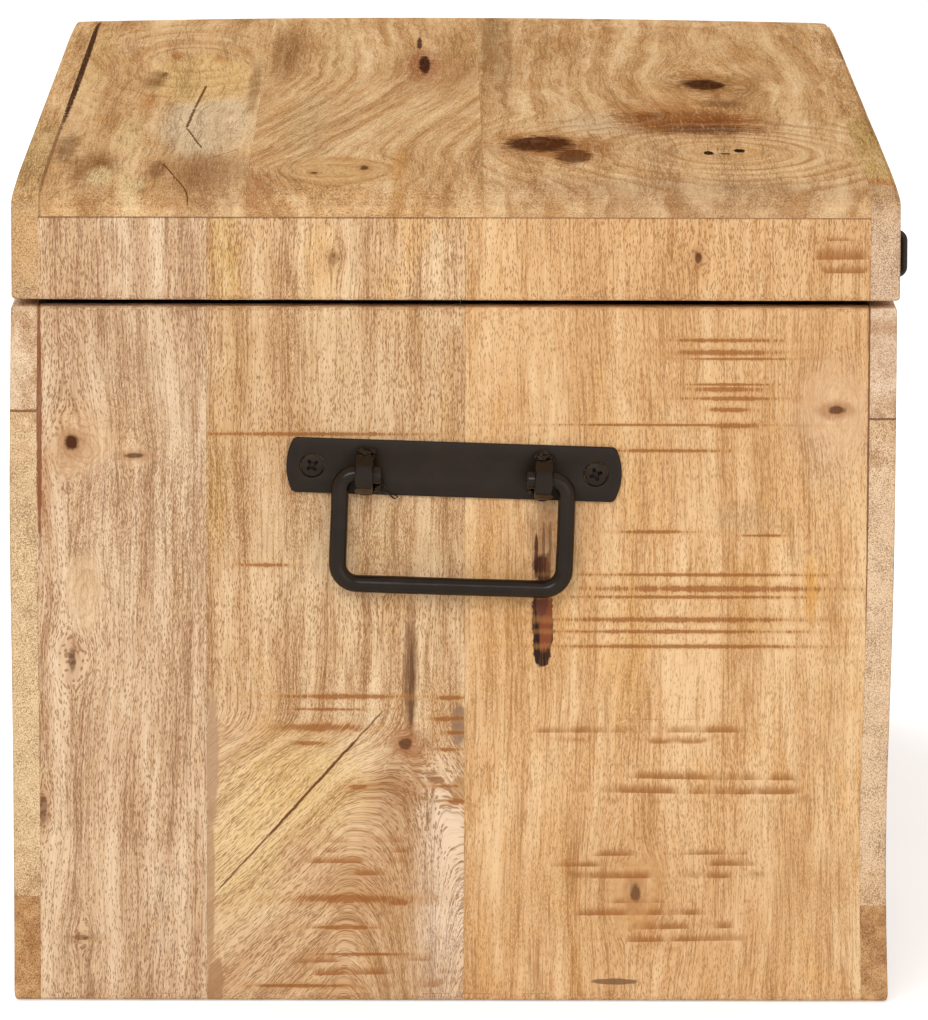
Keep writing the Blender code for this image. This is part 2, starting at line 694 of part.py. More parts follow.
clear_scene()
parts = new_collection(CHEST)
cutters = new_collection("cutters")
boards = {}

pale_wood = principled("pale wood", (0.68, 0.45, 0.24), 0.62)
warm_wood = principled("warm wood", (0.66, 0.38, 0.17), 0.60)
tan_wood = principled("tan wood", (0.60, 0.36, 0.18), 0.64)
black_iron = principled("black iron", (0.020, 0.018, 0.016), 0.45, 0.6)

make_body(pale_wood, warm_wood, tan_wood)
make_lid(pale_wood, warm_wood, tan_wood)
make_handle("left", -1, HANDLE_TILT, black_iron)
make_handle("right", 1, 0.0, black_iron)
make_hinge("left", -HINGE_X, black_iron)
make_hinge("right", HINGE_X, black_iron)
make_hasp(black_iron)
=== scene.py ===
from math import asin, cos, exp, hypot, pi, radians, sin, sqrt
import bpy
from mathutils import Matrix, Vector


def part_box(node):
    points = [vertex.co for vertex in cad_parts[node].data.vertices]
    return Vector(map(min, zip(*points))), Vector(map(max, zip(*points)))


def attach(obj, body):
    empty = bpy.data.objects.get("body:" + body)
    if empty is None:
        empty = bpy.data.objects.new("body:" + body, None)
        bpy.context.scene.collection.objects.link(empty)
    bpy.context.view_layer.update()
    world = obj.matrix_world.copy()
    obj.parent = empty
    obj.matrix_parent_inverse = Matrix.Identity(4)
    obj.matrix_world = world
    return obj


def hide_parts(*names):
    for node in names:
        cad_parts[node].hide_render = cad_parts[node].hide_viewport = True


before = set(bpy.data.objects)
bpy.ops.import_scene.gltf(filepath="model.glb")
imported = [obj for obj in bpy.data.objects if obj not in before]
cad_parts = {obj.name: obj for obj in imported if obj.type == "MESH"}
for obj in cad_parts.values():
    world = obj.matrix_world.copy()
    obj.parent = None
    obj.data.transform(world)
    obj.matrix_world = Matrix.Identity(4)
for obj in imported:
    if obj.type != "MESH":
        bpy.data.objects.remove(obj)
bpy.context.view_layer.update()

from types import SimpleNamespace

import bmesh
import bpy
import numpy as np
from mathutils import Matrix, Vector, noise

chest = bpy.data.collections.new("chest")
bpy.context.scene.collection.children.link(chest)


# shader maths: a wire is one socket, and a sum of wires adds its nodes

class Wire:
    def __init__(self, tree, socket):
        self.tree = tree
        self.socket = socket

    # any node: its settings are set first, then its sockets take values or wires
    def node(self, kind, settings=None, sockets=None, out=0):
        made = self.tree.nodes.new(kind)
        for key, value in (settings or {}).items():
            setattr(made, key, value)
        for key, value in (sockets or {}).items():
            if isinstance(value, Wire):
                self.tree.links.new(value.socket, made.inputs[key])
            else:
                made.inputs[key].default_value = value
        return Wire(self.tree, made.outputs[out])

    def maths(self, operation, *terms):
        return self.node("ShaderNodeMath", {"operation": operation}, dict(enumerate(terms)))

    def __add__(self, other):
        return self.maths("ADD", self, other)

    def __sub__(self, other):
        return self.maths("SUBTRACT", self, other)

    def __rsub__(self, other):
        return self.maths("SUBTRACT", other, self)

    def __mul__(self, other):
        return self.maths("MULTIPLY", self, other)

    def __truediv__(self, other):
        return self.maths("DIVIDE", self, other)

    def __rtruediv__(self, other):
        return self.maths("DIVIDE", other, self)

    __radd__ = __add__
    __rmul__ = __mul__

    def size(self):
        return self.maths("ABSOLUTE", self)

    def whole(self):
        return self.maths("FLOOR", self)

    def most(self, other):
        return self.maths("MAXIMUM", self, other)

    # 0 at low and 1 at high, eased between them; low may be the larger
    def ease(self, low, high):
        sockets = {"Value": self, "From Min": low, "From Max": high}
        return self.node("ShaderNodeMapRange", {"interpolation_type": "SMOOTHSTEP"}, sockets)

    def vector(self, operation, other, out=0):
        return self.node("ShaderNodeVectorMath", {"operation": operation}, {0: self, 1: other}, out)

    def length(self):
        return self.node("ShaderNodeVectorMath", {"operation": "LENGTH"}, {0: self}, 1)

    def parts(self):
        return [self.node("ShaderNodeSeparateXYZ", None, {0: self}, out) for out in range(3)]

    # this wire is a place; the grain of the noise is set per axis, in waves per metre
    def noise(self, waves, detail=2.0, rough=0.5):
        spread = self.vector("MULTIPLY", waves)
        sockets = {"Vector": spread, "Scale": 1.0, "Detail": detail, "Roughness": rough}
        return spread.node("ShaderNodeTexNoise", None, sockets)

    # this wire is the share of the second colour
    def blend(self, first, second):
        return self.node("ShaderNodeMix", {"data_type": "RGBA"}, {0: self, 6: first, 7: second}, 2)


def paint(color):
    return (*color, 1.0) if isinstance(color, tuple) else color


def newMaterial(name):
    material = bpy.data.materials.new(name)
    material.use_nodes = True
    tree = material.node_tree
    shader = tree.nodes["Principled BSDF"]
    here = Wire(tree, None).node("ShaderNodeTexCoord", out=3)
    return material, tree, shader, here


def connect(tree, shader, color, rough, bump, sheen):
    tree.links.new(color.socket, shader.inputs["Base Color"])
    tree.links.new(rough.socket, shader.inputs["Roughness"])
    tree.links.new(bump.socket, shader.inputs["Normal"])
    shader.inputs["Specular IOR Level"].default_value = sheen


# wood

# which of x, y and z runs along the grain, across the board and through its thickness
grainAxes = {"upright": (2, 1, 0), "flat": (0, 1, 2), "edge": (0, 2, 1)}

woodTones = {
    # ground, pale streaks, dark streaks, warm patches, pores
    "straw": (
        (0.70, 0.435, 0.225), (0.90, 0.66, 0.40), (0.50, 0.245, 0.095),
        (0.76, 0.42, 0.145), (0.26, 0.095, 0.025)),
    "pink": (
        (0.69, 0.445, 0.255), (0.89, 0.67, 0.45), (0.49, 0.255, 0.115),
        (0.72, 0.44, 0.20), (0.25, 0.095, 0.034)),
    "honey": (
        (0.76, 0.445, 0.205), (0.90, 0.62, 0.34), (0.62, 0.30, 0.105),
        (0.80, 0.43, 0.14), (0.34, 0.135, 0.036)),
    "bronze": (
        (0.72, 0.415, 0.185), (0.90, 0.63, 0.35), (0.44, 0.20, 0.068),
        (0.74, 0.36, 0.10), (0.20, 0.080, 0.024)),
    "blush": (
        (0.76, 0.52, 0.34), (0.88, 0.67, 0.48), (0.64, 0.39, 0.21),
        (0.78, 0.50, 0.26), (0.36, 0.18, 0.08)),
    "umber": (
        (0.54, 0.28, 0.115), (0.72, 0.43, 0.20), (0.37, 0.16, 0.055),
        (0.56, 0.26, 0.08), (0.17, 0.065, 0.020)),
}

woodMarks = {
    "knotCore": (0.075, 0.020, 0.005),
    "knotRim": (0.36, 0.140, 0.045),
    "sawn": (0.33, 0.110, 0.024),
    "sawnEdge": (0.60, 0.28, 0.080),
    "crack": (0.150, 0.045, 0.010),
}

woodFinish = {
    "roughness": 0.60,
    "poreRoughness": 0.22,
    "bump": 0.5,
    "bumpDepth": 0.0005,
    "sawPitch": 0.0058,
    "softest": 0.3,  # stains as soft as this lie under the fibres, harder ones over them
}

# waves to the metre, along the grain and across it
woodWaves = {
    "wander": (2.6, 7.0),
    "ripple": (22.0, 60.0),
    "cloud": (16.0, 34.0),
    "fibres": (60, 1300),
    "threads": (26, 1100),
    "pores": (560.0, 2900.0),
    "wobble": (160, 160),
}

mm = 0.001

# what a board has where its own look says nothing else; lengths are in millimetres
plainWood = {
    "wander": 30,  # how far the fibres stray
    "ripple": 4,
    "squeeze": 0.72,  # how far they give way to a knot
    "heart": (300, 0, 0.0, 30),  # across, along, stretch, level through the board
    "rings": 110,  # to the metre
    "ringReach": 500,  # how far along the board the heart comes into the rings
    "ringZone": None,  # across, along, half width, half length of a place with bold rings
    "growth": None,  # rings to the metre, strength
    "contrast": 0.34,
    "streaks": (6.0, 80.0),  # waves to the metre along and across
    "pores": 0.06,
    "bold": 0.85,  # how strong the pale and dark streaks are
    "warmth": 0.55,
    "paleness": 0.60,
    "fine": 0.44,  # how strong the fibres are
    "lineStrength": 0.42,
    "poreStrength": 0.66,
    "crackStrength": 0.80,
    "jag": 1.6,
    "sheen": 0.12,
    "knots": (), "bulges": (), "whorls": (), "drifts": (), "forks": (),
    "stains": (), "sawMarks": (), "scratches": (), "cracks": (),
}


# a vector in x, y and z from values along, across and through the board
def inGrain(grain, along, across, deep=0.0):
    spot = [0.0, 0.0, 0.0]
    for axis, value in zip(grainAxes[grain], (along, across, deep)):
        spot[axis] = value
    return tuple(spot)


def waves(grain, along, across):
    return inGrain(grain, along, across, across)


# the places and the slow noises by which everything on a board is laid out
def boardFields(here, grain, seed):
    parts = here.parts()
    along, across, deep = (parts[axis] for axis in grainAxes[grain])
    shifted = here.vector("ADD", (seed, seed * 1.7, seed * 0.6))
    return SimpleNamespace(
        here=here, grain=grain, along=along, across=across, deep=deep, shifted=shifted,
        wobble=shifted.noise(waves(grain, *woodWaves["wobble"]), 3.0, 0.65) - 0.5,
        slow=shifted.noise(waves(grain, *woodWaves["wander"]), 2.0) - 0.5,
        quick=shifted.noise(waves(grain, *woodWaves["ripple"]), 2.0, 0.6) - 0.5,
    )


# distance from a spot on the board, in units of its half sizes
def around(board, across, along, halfAcross, halfAlong):
    away = board.here.vector("SUBTRACT", inGrain(board.grain, along * mm, across * mm))
    shrink = inGrain(board.grain, 1 / (halfAlong * mm), 1 / (halfAcross * mm))
    return away.vector("MULTIPLY", shrink).length()


# how far aside the fibres lie: they wander, swell round knots, drift and fan out below a fork
def fibreShift(board, look):
    shift = board.slow * (look["wander"] * mm) + board.quick * (look["ripple"] * mm)
    swells = [(across, along, flow * 0.40, flow * 0.60) for across, along, _, _, _, flow in look["knots"]]
    for across, along, halfAcross, halfAlong in [*swells, *look["bulges"]]:
        near = around(board, across, along, halfAcross, halfAlong)
        reach = 1 / (near * near + 0.6)
        shift = shift - (board.across - across * mm) * reach.maths("MINIMUM", reach, look["squeeze"])
    for start, end, climb in look["drifts"]:
        shift = shift + board.along.ease(start * mm, end * mm) * (climb * mm)
    for across, along, left, right, depth in look["forks"]:
        arms = (board.across - across * mm).ease(-0.034, 0.034) * (left + right) - right
        below = ((board.along * -1 + along * mm) / (depth * mm)).ease(0.0, 1.0)
        shift = shift + (board.along - along * mm) * arms * below
    return shift


# distance from the tree's heart, which may lie along the board or cross it
def heartDistance(board, look, shift):
    across, along, stretch, level = look["heart"]
    off = board.across + shift - across * mm
    ahead = (board.along - along * mm).size() * stretch
    ahead = ahead.maths("SMOOTH_MIN", ahead, look["ringReach"] * mm, 0.02)
    under = (board.deep - level * mm) * 0.8
    return off.maths("SQRT", off * off + ahead * ahead + under * under)


# calm wood with rings of its own round a knot: its lines, and what is left of the pores and vessels
def whorlLines(board, look, pores, vessels):
    lines = None
    for *spot, count, strength in look["whorls"]:
        near = around(board, *spot) + (board.quick * 1.5 + board.wobble * 0.35)
        calm = near.ease(1.25, 0.75)
        pores = pores * (1 - calm * 0.65)
        vessels = vessels * (1 - calm * 0.9)
        turn = near * count - (near * count).whole()
        curve = turn.ease(0.55, 0.90) * turn.ease(1.0, 0.90) * calm * strength
        lines = curve if lines is None else lines.most(curve)
    return lines, pores, vessels


# the stains under the fibres are soft, those over them hard
def stainMasks(board, look, softOnes):
    for *spot, tint, strength, soft in look["stains"]:
        if (soft >= woodFinish["softest"]) == softOnes:
            near = around(board, *spot) + board.wobble * (0.7 + soft)
            yield near.ease(1 + soft, 1 - soft), strength, paint(tuple(share / 100 for share in tint))


def softStains(board, look, color, streaks):
    for mask, strength, tint in stainMasks(board, look, True):
        color = (mask * (streaks * 0.9 + 0.55) * strength).blend(color, tint)
    return color


def hardStains(board, look, color, height, fibres):
    for mask, strength, tint in stainMasks(board, look, False):
        mask = mask * strength
        color = (mask * (fibres * 0.3 + 0.85)).blend(color, tint)
        height = height - mask * 1.2
    return color, height


def growthRings(board, look, color, rings, fromHeart, pale, dark):
    if look["growth"]:
        count, strength = look["growth"]
        place = fromHeart * count + (board.slow * 3.0 + board.quick * 1.1)
        turn = place - place.whole()
        line = turn.ease(0.35, 0.93) * turn.ease(1.0, 0.95) * rings.ease(0.34, 0.62)
        color = (line * strength).blend(color, dark)
        color = (turn.ease(0.5, 0.1) * turn.ease(0.0, 0.1) * 0.35 * strength).blend(color, pale)
    return color


def knotHoles(board, look, color, height):
    for *spot, depth, _ in look["knots"]:
        near = around(board, *spot) + board.wobble * 1.3
        color = (near.ease(3.2, 0.9) * 0.6 * depth).blend(color, paint(woodMarks["knotRim"]))
        core = near.ease(1.25, 0.7) * depth
        color = core.blend(color, paint(woodMarks["knotCore"]))
        height = height - core * 1.5
    return color, height


# rows of torn fibres that the saw left, cleanly cut below and frayed above
def sawnRows(board, look, color, height):
    zone = None
    for *spot, strength in look["sawMarks"]:
        patch = around(board, *spot).ease(1.3, 0.45) * strength
        zone = patch if zone is None else zone.most(patch)
    if zone is None:
        return color, height
    lean = board.shifted.noise(inGrain(board.grain, 34, 3, 9), 1.0) * 2.4
    rise = board.along / woodFinish["sawPitch"] + lean
    turn = rise - rise.whole()
    row = board.here.node("ShaderNodeCombineXYZ", None, {0: board.across * 38.0, 1: rise.whole() * 3.7})
    run = (row.noise((1, 1, 1), 2.0, 0.7) + (zone - 0.5) * 0.28).ease(0.42, 0.58)
    thick = row.noise((1.7, 1.7, 1.7), 1.0) * 2.0 + 0.1
    cut = turn.ease(0.0, 0.05) * (turn / thick).ease(0.26, 0.12)
    fringe = turn.ease(0.0, 0.05) * turn.ease(1.0, 0.10)
    ticks = board.shifted.noise(inGrain(board.grain, 110, 900, 300), 2.0, 0.7)
    frayed = (ticks + fringe * 0.30).ease(0.52, 0.70) * fringe
    sawn = run * zone.ease(0.0, 0.35)
    color = (fringe * sawn * 0.30).blend(color, paint(woodMarks["sawnEdge"]))
    torn = (cut * 0.9).most(frayed) * sawn
    color = (torn * 0.75).blend(color, paint(woodMarks["sawn"]))
    return color, height - torn * 0.5


def singleScratches(board, look, color, height, fibres):
    nearest = None
    for spot in look["scratches"]:
        near = around(board, *spot)
        nearest = near if nearest is None else near.maths("MINIMUM", near, nearest)
    if nearest is None:
        return color, height
    ragged = nearest + board.wobble * 1.2 + (fibres - 0.5) * 2.4
    color = (ragged.ease(2.6, 1.0) * 0.30).blend(color, paint(woodMarks["sawnEdge"]))
    deepest = ragged.ease(1.25, 0.70)
    color = (deepest * 0.80).blend(color, paint(woodMarks["sawn"]))
    return color, height - deepest * 0.6


def openCracks(board, look, color, height):
    for crack in look["cracks"]:
        startAcross, startAlong, endAcross, endAlong, halfWidth = (length * mm for length in crack)
        reach = hypot(endAcross - startAcross, endAlong - startAlong)
        leanAcross, leanAlong = (endAcross - startAcross) / reach, (endAlong - startAlong) / reach
        fromAcross, fromAlong = board.across - startAcross, board.along - startAlong
        aside = fromAcross * leanAlong - fromAlong * leanAcross + board.wobble * (look["jag"] * mm)
        ahead = fromAcross * leanAcross + fromAlong * leanAlong
        taper = (ahead / reach - 0.5).size().ease(0.44, 0.53)
        line = (aside.size() / halfWidth + taper).ease(1.0, 0.35)
        color = (line * look["crackStrength"]).blend(color, paint(woodMarks["crack"]))
        height = height - line * 2.0
    return color, height


def woodMaterial(name, grain, ownLook):
    look = {**plainWood, **ownLook}
    material, tree, shader, here = newMaterial(name)
    ground, pale, dark, warm, pore = (paint(c) for c in woodTones[look["tone"]])
    board = boardFields(here, grain, look["seed"])
    shift = fibreShift(board, look)
    aside = {0: inGrain(grain, 0.0, 1.0), "Scale": shift}
    bent = board.shifted.vector("ADD", here.node("ShaderNodeVectorMath", {"operation": "SCALE"}, aside))

    fromHeart = heartDistance(board, look, shift)
    drift = here.vector("MULTIPLY", inGrain(grain, 1.6, 0.0))
    ringPlace = here.node("ShaderNodeCombineXYZ", None, {0: fromHeart * look["rings"]})
    rings = drift.vector("ADD", ringPlace).noise((1, 1, 1), 4.0, 0.72)

    # streaks and patches of tone, fibres, long vessel lines, and pores as short dashes
    streaks = bent.noise(waves(grain, *look["streaks"]), 4.0, 0.74)
    cloud = board.shifted.noise(waves(grain, *woodWaves["cloud"]), 4.0, 0.64)
    fibres = bent.noise(waves(grain, *woodWaves["fibres"]), 2.0, 0.65)
    threads = bent.noise(waves(grain, *woodWaves["threads"]), 2.0, 0.7)
    cells = bent.vector("MULTIPLY", waves(grain, *woodWaves["pores"]))
    spots = cells.node("ShaderNodeTexVoronoi", None, {"Vector": cells, "Scale": 1.0, "Randomness": 1.0})
    luck = Wire(tree, spots.socket.node.outputs["Color"]).parts()[0]
    fill = (streaks - 0.5) * 0.9 + (cloud - 0.5) * 0.5 + luck * 0.80 + look["pores"]
    pores = (fill - spots).ease(0.0, 0.24)
    vessels = (threads + (streaks - 0.5) * 0.6).ease(0.55, 0.64)
    ringed, pores, vessels = whorlLines(board, look, pores, vessels)

    tone = streaks * 0.66 + rings * look["contrast"]
    if look["ringZone"]:
        tone = tone + (rings - streaks) * around(board, *look["ringZone"]).ease(1.3, 0.6) * 0.62
    bold, fine = look["bold"], look["fine"]
    color = (tone.ease(0.54, 0.38) * bold).blend(ground, pale)
    color = (tone.ease(0.50, 0.70) * 0.60 * bold).blend(color, dark)
    color = (cloud.ease(0.50, 0.70) * look["warmth"]).blend(color, warm)
    color = (cloud.ease(0.46, 0.30) * look["paleness"]).blend(color, pale)
    color = softStains(board, look, color, streaks)
    color = growthRings(board, look, color, rings, fromHeart, pale, dark)
    color = (fibres.ease(0.50, 0.70) * fine).blend(color, dark)
    color = (fibres.ease(0.48, 0.32) * fine).blend(color, pale)
    color = (vessels * look["lineStrength"]).blend(color, pore)
    color = (pores * look["poreStrength"]).blend(color, pore)
    if ringed is not None:
        color = (ringed * (fibres * 0.8 + 0.4)).blend(color, dark)
    height = fibres * 0.30 - pores * 0.45 - vessels * 0.3

    color, height = hardStains(board, look, color, height, fibres)
    color, height = knotHoles(board, look, color, height)
    color, height = sawnRows(board, look, color, height)
    color, height = singleScratches(board, look, color, height, fibres)
    color, height = openCracks(board, look, color, height)

    rough = pores * woodFinish["poreRoughness"] + (fibres * 0.12 + woodFinish["roughness"] - 0.06)
    bump = here.node("ShaderNodeBump", None, {
        "Strength": woodFinish["bump"], "Distance": woodFinish["bumpDepth"], "Height": height})
    connect(tree, shader, color, rough, bump, look["sheen"])
    return material


# boards

boardShape = {
    "cell": 0.0065,
    "wave": 0.00022,
    "chip": 0.0009,
    "chips": ((130, 0.28, 2.2), (35, 0.0, 0.5)),  # waves to the metre, level they start at, depth
    "glued": 0.00012,  # how far a glued side reaches into its neighbour
    "outerRadius": 0.0014,
    "footRadius": 0.0034,
    "seamRadius": 0.0017,
    "lidRimRadius": 0.0020,
    "bottomRadius": 0.0006,
    "bottomCell": 0.02,
}


# places of mesh rows along one side: close together in the rounded margins
def rows(low, high, marginLow, marginHigh, cell):
    inner0, inner1 = low + marginLow, high - marginHigh
    count = max(1, round((inner1 - inner0) / cell))
    places = [inner0 + (inner1 - inner0) * i / count for i in range(count + 1)]
    steps = (1.0, 0.62, 0.30, 0.08)
    before = [inner0 - marginLow * s for s in steps] if marginLow else []
    after = [inner1 + marginHigh * s for s in reversed(steps)] if marginHigh else []
    return before + places + after


# the skin of a box as rows of quads, as a bmesh
def boxSkin(xs, ys, zs):
    bm = bmesh.new()
    known = {}

    def corner(i, j, k):
        if (i, j, k) not in known:
            known[i, j, k] = bm.verts.new((xs[i], ys[j], zs[k]))
        return known[i, j, k]

    ends = (len(xs) - 1, len(ys) - 1, len(zs) - 1)
    for fixed in range(3):
        u, v = [axis for axis in range(3) if axis != fixed]
        for at, flip in ((0, True), (ends[fixed], False)):
            for a in range(ends[u]):
                for b in range(ends[v]):
                    ring = []
                    for da, db in ((0, 0), (1, 0), (1, 1), (0, 1)):
                        spot = [0, 0, 0]
                        spot[fixed], spot[u], spot[v] = at, a + da, b + db
                        ring.append(corner(*spot))
                    if flip != (fixed == 1):
                        ring.reverse()
                    bm.faces.new(ring)
    return bm


# the walls are not quite straight: the front bows in near the floor, the back swells above the middle
wallBow = {
    # depth, height, spread
    "front": (0.0028, 0.075, 0.085),
    "back": (0.0013, 0.225, 0.080),
}


def bowed(spot):
    share = min(1.0, max(0.0, (abs(spot.y) - 0.10) / 0.09))
    depth, height, spread = wallBow["front"] if spot.y < 0 else wallBow["back"]
    return depth * share * exp(-(((spot.z - height) / spread) ** 2))


# the surface's slow unevenness, the same for neighbours so that they stay flush
def unevenness(spot):
    return noise.noise(spot * 11 + Vector((3, 3, 3)))


def finishPiece(name, bm, material, body, node, sharp=40):
    bmesh.ops.recalc_face_normals(bm, faces=bm.faces)
    mesh = bpy.data.meshes.new(name)
    bm.to_mesh(mesh)
    bm.free()
    mesh.materials.append(material)
    mesh.shade_smooth()
    mesh.set_sharp_from_angle(angle=radians(sharp))
    piece = bpy.data.objects.new(name, mesh)
    chest.objects.link(piece)
    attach(piece, body)
    if node:
        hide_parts(node)
    return piece


# rounds maps a side such as "-x" to the radius it takes part in; sides not named stay square and glued
def boardMesh(node, rounds, cell=boardShape["cell"]):
    low, high = (list(corner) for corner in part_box(node))
    stations, radii = [], []
    for axis, letter in enumerate("xyz"):
        if "-" + letter not in rounds:
            low[axis] -= boardShape["glued"]
        if "+" + letter not in rounds:
            high[axis] += boardShape["glued"]
        pair = [rounds.get(sign + letter, 0.0) for sign in "-+"]
        radii.append(pair)
        stations.append(rows(low[axis], high[axis], *pair, cell))
    bm = boxSkin(*stations)
    for vert in bm.verts:
        spot = vert.co.copy()
        inner = [min(max(spot[i], low[i] + radii[i][0]), high[i] - radii[i][1]) for i in range(3)]
        away = spot - Vector(inner)
        shares = [abs(a) / radii[i][a > 0] for i, a in enumerate(away) if abs(a) > 1e-7]
        if len(shares) > 1:
            limit = away.length / hypot(*shares)
            chips = [max(0.0, noise.noise(spot * w) - level) * deep for w, level, deep in boardShape["chips"]]
            lost = min(sum(chips) * boardShape["chip"], limit * 0.7)
            vert.co = Vector(inner) + away.normalized() * (limit - lost)
        for axis, letter in enumerate("xyz"):
            flat = spot.copy()
            flat[axis] = 0
            dip = abs(unevenness(flat)) * boardShape["wave"]
            if "-" + letter in rounds and abs(spot[axis] - low[axis]) < radii[axis][0] + 1e-6:
                vert.co[axis] += dip
            if "+" + letter in rounds and abs(spot[axis] - high[axis]) < radii[axis][1] + 1e-6:
                vert.co[axis] -= dip
        vert.co.y += bowed(vert.co)
    return bm


# lid top

lidShape = {
    "endTop": 0.3600,
    "edgeTop": 0.3722,
    "crown": 0.0031,
    "halfLength": 0.400,
    "halfWidth": 0.200,
    "endRound": 0.012,
    "slope": 0.100,
    "edgeRadius": 0.0026,
}


def endRise(fromEnd):
    start, knee = 0.06, 0.80
    if fromEnd < lidShape["endRound"]:
        rise = sqrt(max(0.0, 1 - (1 - fromEnd / lidShape["endRound"]) ** 2))
        return start + (knee - start) * rise
    along = min(1.0, (fromEnd - lidShape["endRound"]) / (lidShape["slope"] - lidShape["endRound"]))
    return knee + (1 - knee) * (1 - (1 - along) ** 2)


def lidTop(x, y):
    edge = lidShape["halfWidth"]
    across = min(1.0, abs(y) / edge)
    full = lidShape["edgeTop"] + lidShape["crown"] * (1 - across**2)
    inward = lidShape["edgeRadius"] - max(0.0, edge - abs(y))
    if inward > 0:
        full -= lidShape["edgeRadius"] - sqrt(max(0.0, lidShape["edgeRadius"] ** 2 - inward**2))
    full += noise.noise(Vector((x * 9, y * 9, 5.0))) * 0.00025
    rise = endRise(lidShape["halfLength"] - abs(x))
    return lidShape["endTop"] + (full - lidShape["endTop"]) * rise


# rows along the lid's length, close together where its ends round over
def lidRows():
    near = [0, 0.0003, 0.0008, 0.0016, 0.0027, 0.0042, 0.0062, 0.0088, 0.012]
    near += [0.017, 0.023, 0.030, 0.038, 0.047, 0.057, 0.068, 0.080, 0.092, 0.104]
    near = [d - lidShape["halfLength"] for d in near]
    middle = np.linspace(near[-1], -near[-1], 78)[1:-1].tolist()
    return near + middle + [-x for x in reversed(near)]


def lidBoardMesh(node, edgeSide):
    low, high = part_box(node)
    glued = boardShape["glued"]
    y0 = low.y - (0 if edgeSide < 0 else glued)
    y1 = high.y + (0 if edgeSide > 0 else glued)
    if edgeSide:
        margin = lidShape["edgeRadius"]
        ys = rows(y0, y1, margin if edgeSide < 0 else 0, margin if edgeSide > 0 else 0, 0.0048)
        zs = rows(low.z, high.z, boardShape["lidRimRadius"], 0, 0.006)
    else:
        ys = rows(y0, y1, 0, 0, 0.0065)
        zs = [low.z - glued, high.z]
    bm = boxSkin(lidRows(), ys, zs)
    rim = boardShape["lidRimRadius"]
    for vert in bm.verts:
        x, y, z = vert.co
        up = (z - zs[0]) / (zs[-1] - zs[0])
        vert.co.z = zs[0] + (lidTop(x, y) - zs[0]) * up
        if not edgeSide:
            continue
        outward = max(0.0, rim - abs((y0 if edgeSide < 0 else y1) - y))
        endward = max(0.0, rim - (lidShape["halfLength"] - abs(x)))
        downward = max(0.0, rim - (z - zs[0]))
        reach = Vector((endward, outward, downward))
        if sum(r > 0 for r in reach) > 1 and reach.length > rim:
            fit = reach * (rim / reach.length)
            vert.co.x += (reach.x - fit.x) * (1 if x < 0 else -1)
            vert.co.y += (reach.y - fit.y) * (-edgeSide)
            vert.co.z += reach.z - fit.z
    return bm


# ironwork

ironFinish = {
    "color": (0.0140, 0.0072, 0.0030),
    "thin": (0.0200, 0.0108, 0.0046),
    "worn": (0.060, 0.044, 0.032),
    "roughness": 0.32,
    "specular": 0.17,
    "bumpDepth": 0.00012,
    # waves to the metre
    "mottle": (90, 90, 90),
    "grit": (1500, 1500, 1500),
    "wear": (420, 420, 420),
}


def ironMaterial(name, roughness, bumps, wornShare=1.0):
    material, tree, shader, here = newMaterial(name)
    mottle = here.noise(ironFinish["mottle"], 3.0, 0.6)
    grit = here.noise(ironFinish["grit"], 2.0, 0.5)
    wear = here.noise(ironFinish["wear"], 3.0, 0.7)
    edges = here.node("ShaderNodeNewGeometry", out=7).ease(0.515, 0.60)  # pointiness
    color = mottle.ease(0.35, 0.75).blend(paint(ironFinish["color"]), paint(ironFinish["thin"]))
    worn = (wear.ease(0.66, 0.80) * 0.25).most(edges * wear.ease(0.30, 0.70) * 0.6)
    color = (worn * wornShare).blend(color, paint(ironFinish["worn"]))
    rough = mottle * 0.20 + grit * 0.10 + (roughness - 0.14)
    bump = here.node("ShaderNodeBump", None, {
        "Strength": bumps, "Distance": ironFinish["bumpDepth"], "Height": mottle * 0.8 + grit * 0.35})
    connect(tree, shader, color, rough, bump, ironFinish["specular"])
    return material


def joinRings(bm, first, second):
    for k in range(len(first)):
        bm.faces.new((first[k - 1], first[k], second[k], second[k - 1]))


# rings of vertices joined into a skin; a closed one runs on from its last ring to its first
def skinRings(bm, rings, closed=False):
    pairs = list(zip(rings, rings[1:]))
    if closed:
        pairs.append((rings[-1], rings[0]))
    else:
        bm.faces.new(rings[0])
        bm.faces.new(rings[-1])
    for first, second in pairs:
        joinRings(bm, first, second)


# a bar that follows a path, its thickness given for every point
def bar(bm, path, radii, sides):
    rings, normal = [], Vector((0.3, 0.4, 0.8))
    turns = [2 * pi * k / sides for k in range(sides)]
    for i, spot in enumerate(path):
        ahead = (path[min(i + 1, len(path) - 1)] - path[max(i - 1, 0)]).normalized()
        normal = (normal - ahead * normal.dot(ahead)).normalized()
        side = ahead.cross(normal)
        rings.append([bm.verts.new(spot + (normal * cos(a) + side * sin(a)) * radii[i]) for a in turns])
    skinRings(bm, rings)


# a turned shape from stations of radius and height, put out of round by the function shape
def turned(bm, stations, sides, shape, closed=False):
    turns = [2 * pi * k / sides for k in range(sides)]
    rings = [[bm.verts.new(shape(radius, a, height)) for a in turns] for radius, height in stations]
    skinRings(bm, rings, closed)


# a rough blob of weld metal
def lump(bm, place, size, salt):
    made = bmesh.ops.create_icosphere(bm, subdivisions=4, radius=1.0)["verts"]
    for vert in made:
        out = vert.co.copy()
        swell = 1 + noise.noise(out * 1.1 + Vector((salt, 0, salt))) * 0.5
        swell += noise.noise(out * 2.6 + Vector((0, salt, salt))) * 0.10
        vert.co = (Vector(place) + Vector([o * s * swell for o, s in zip(out, size)])) * mm


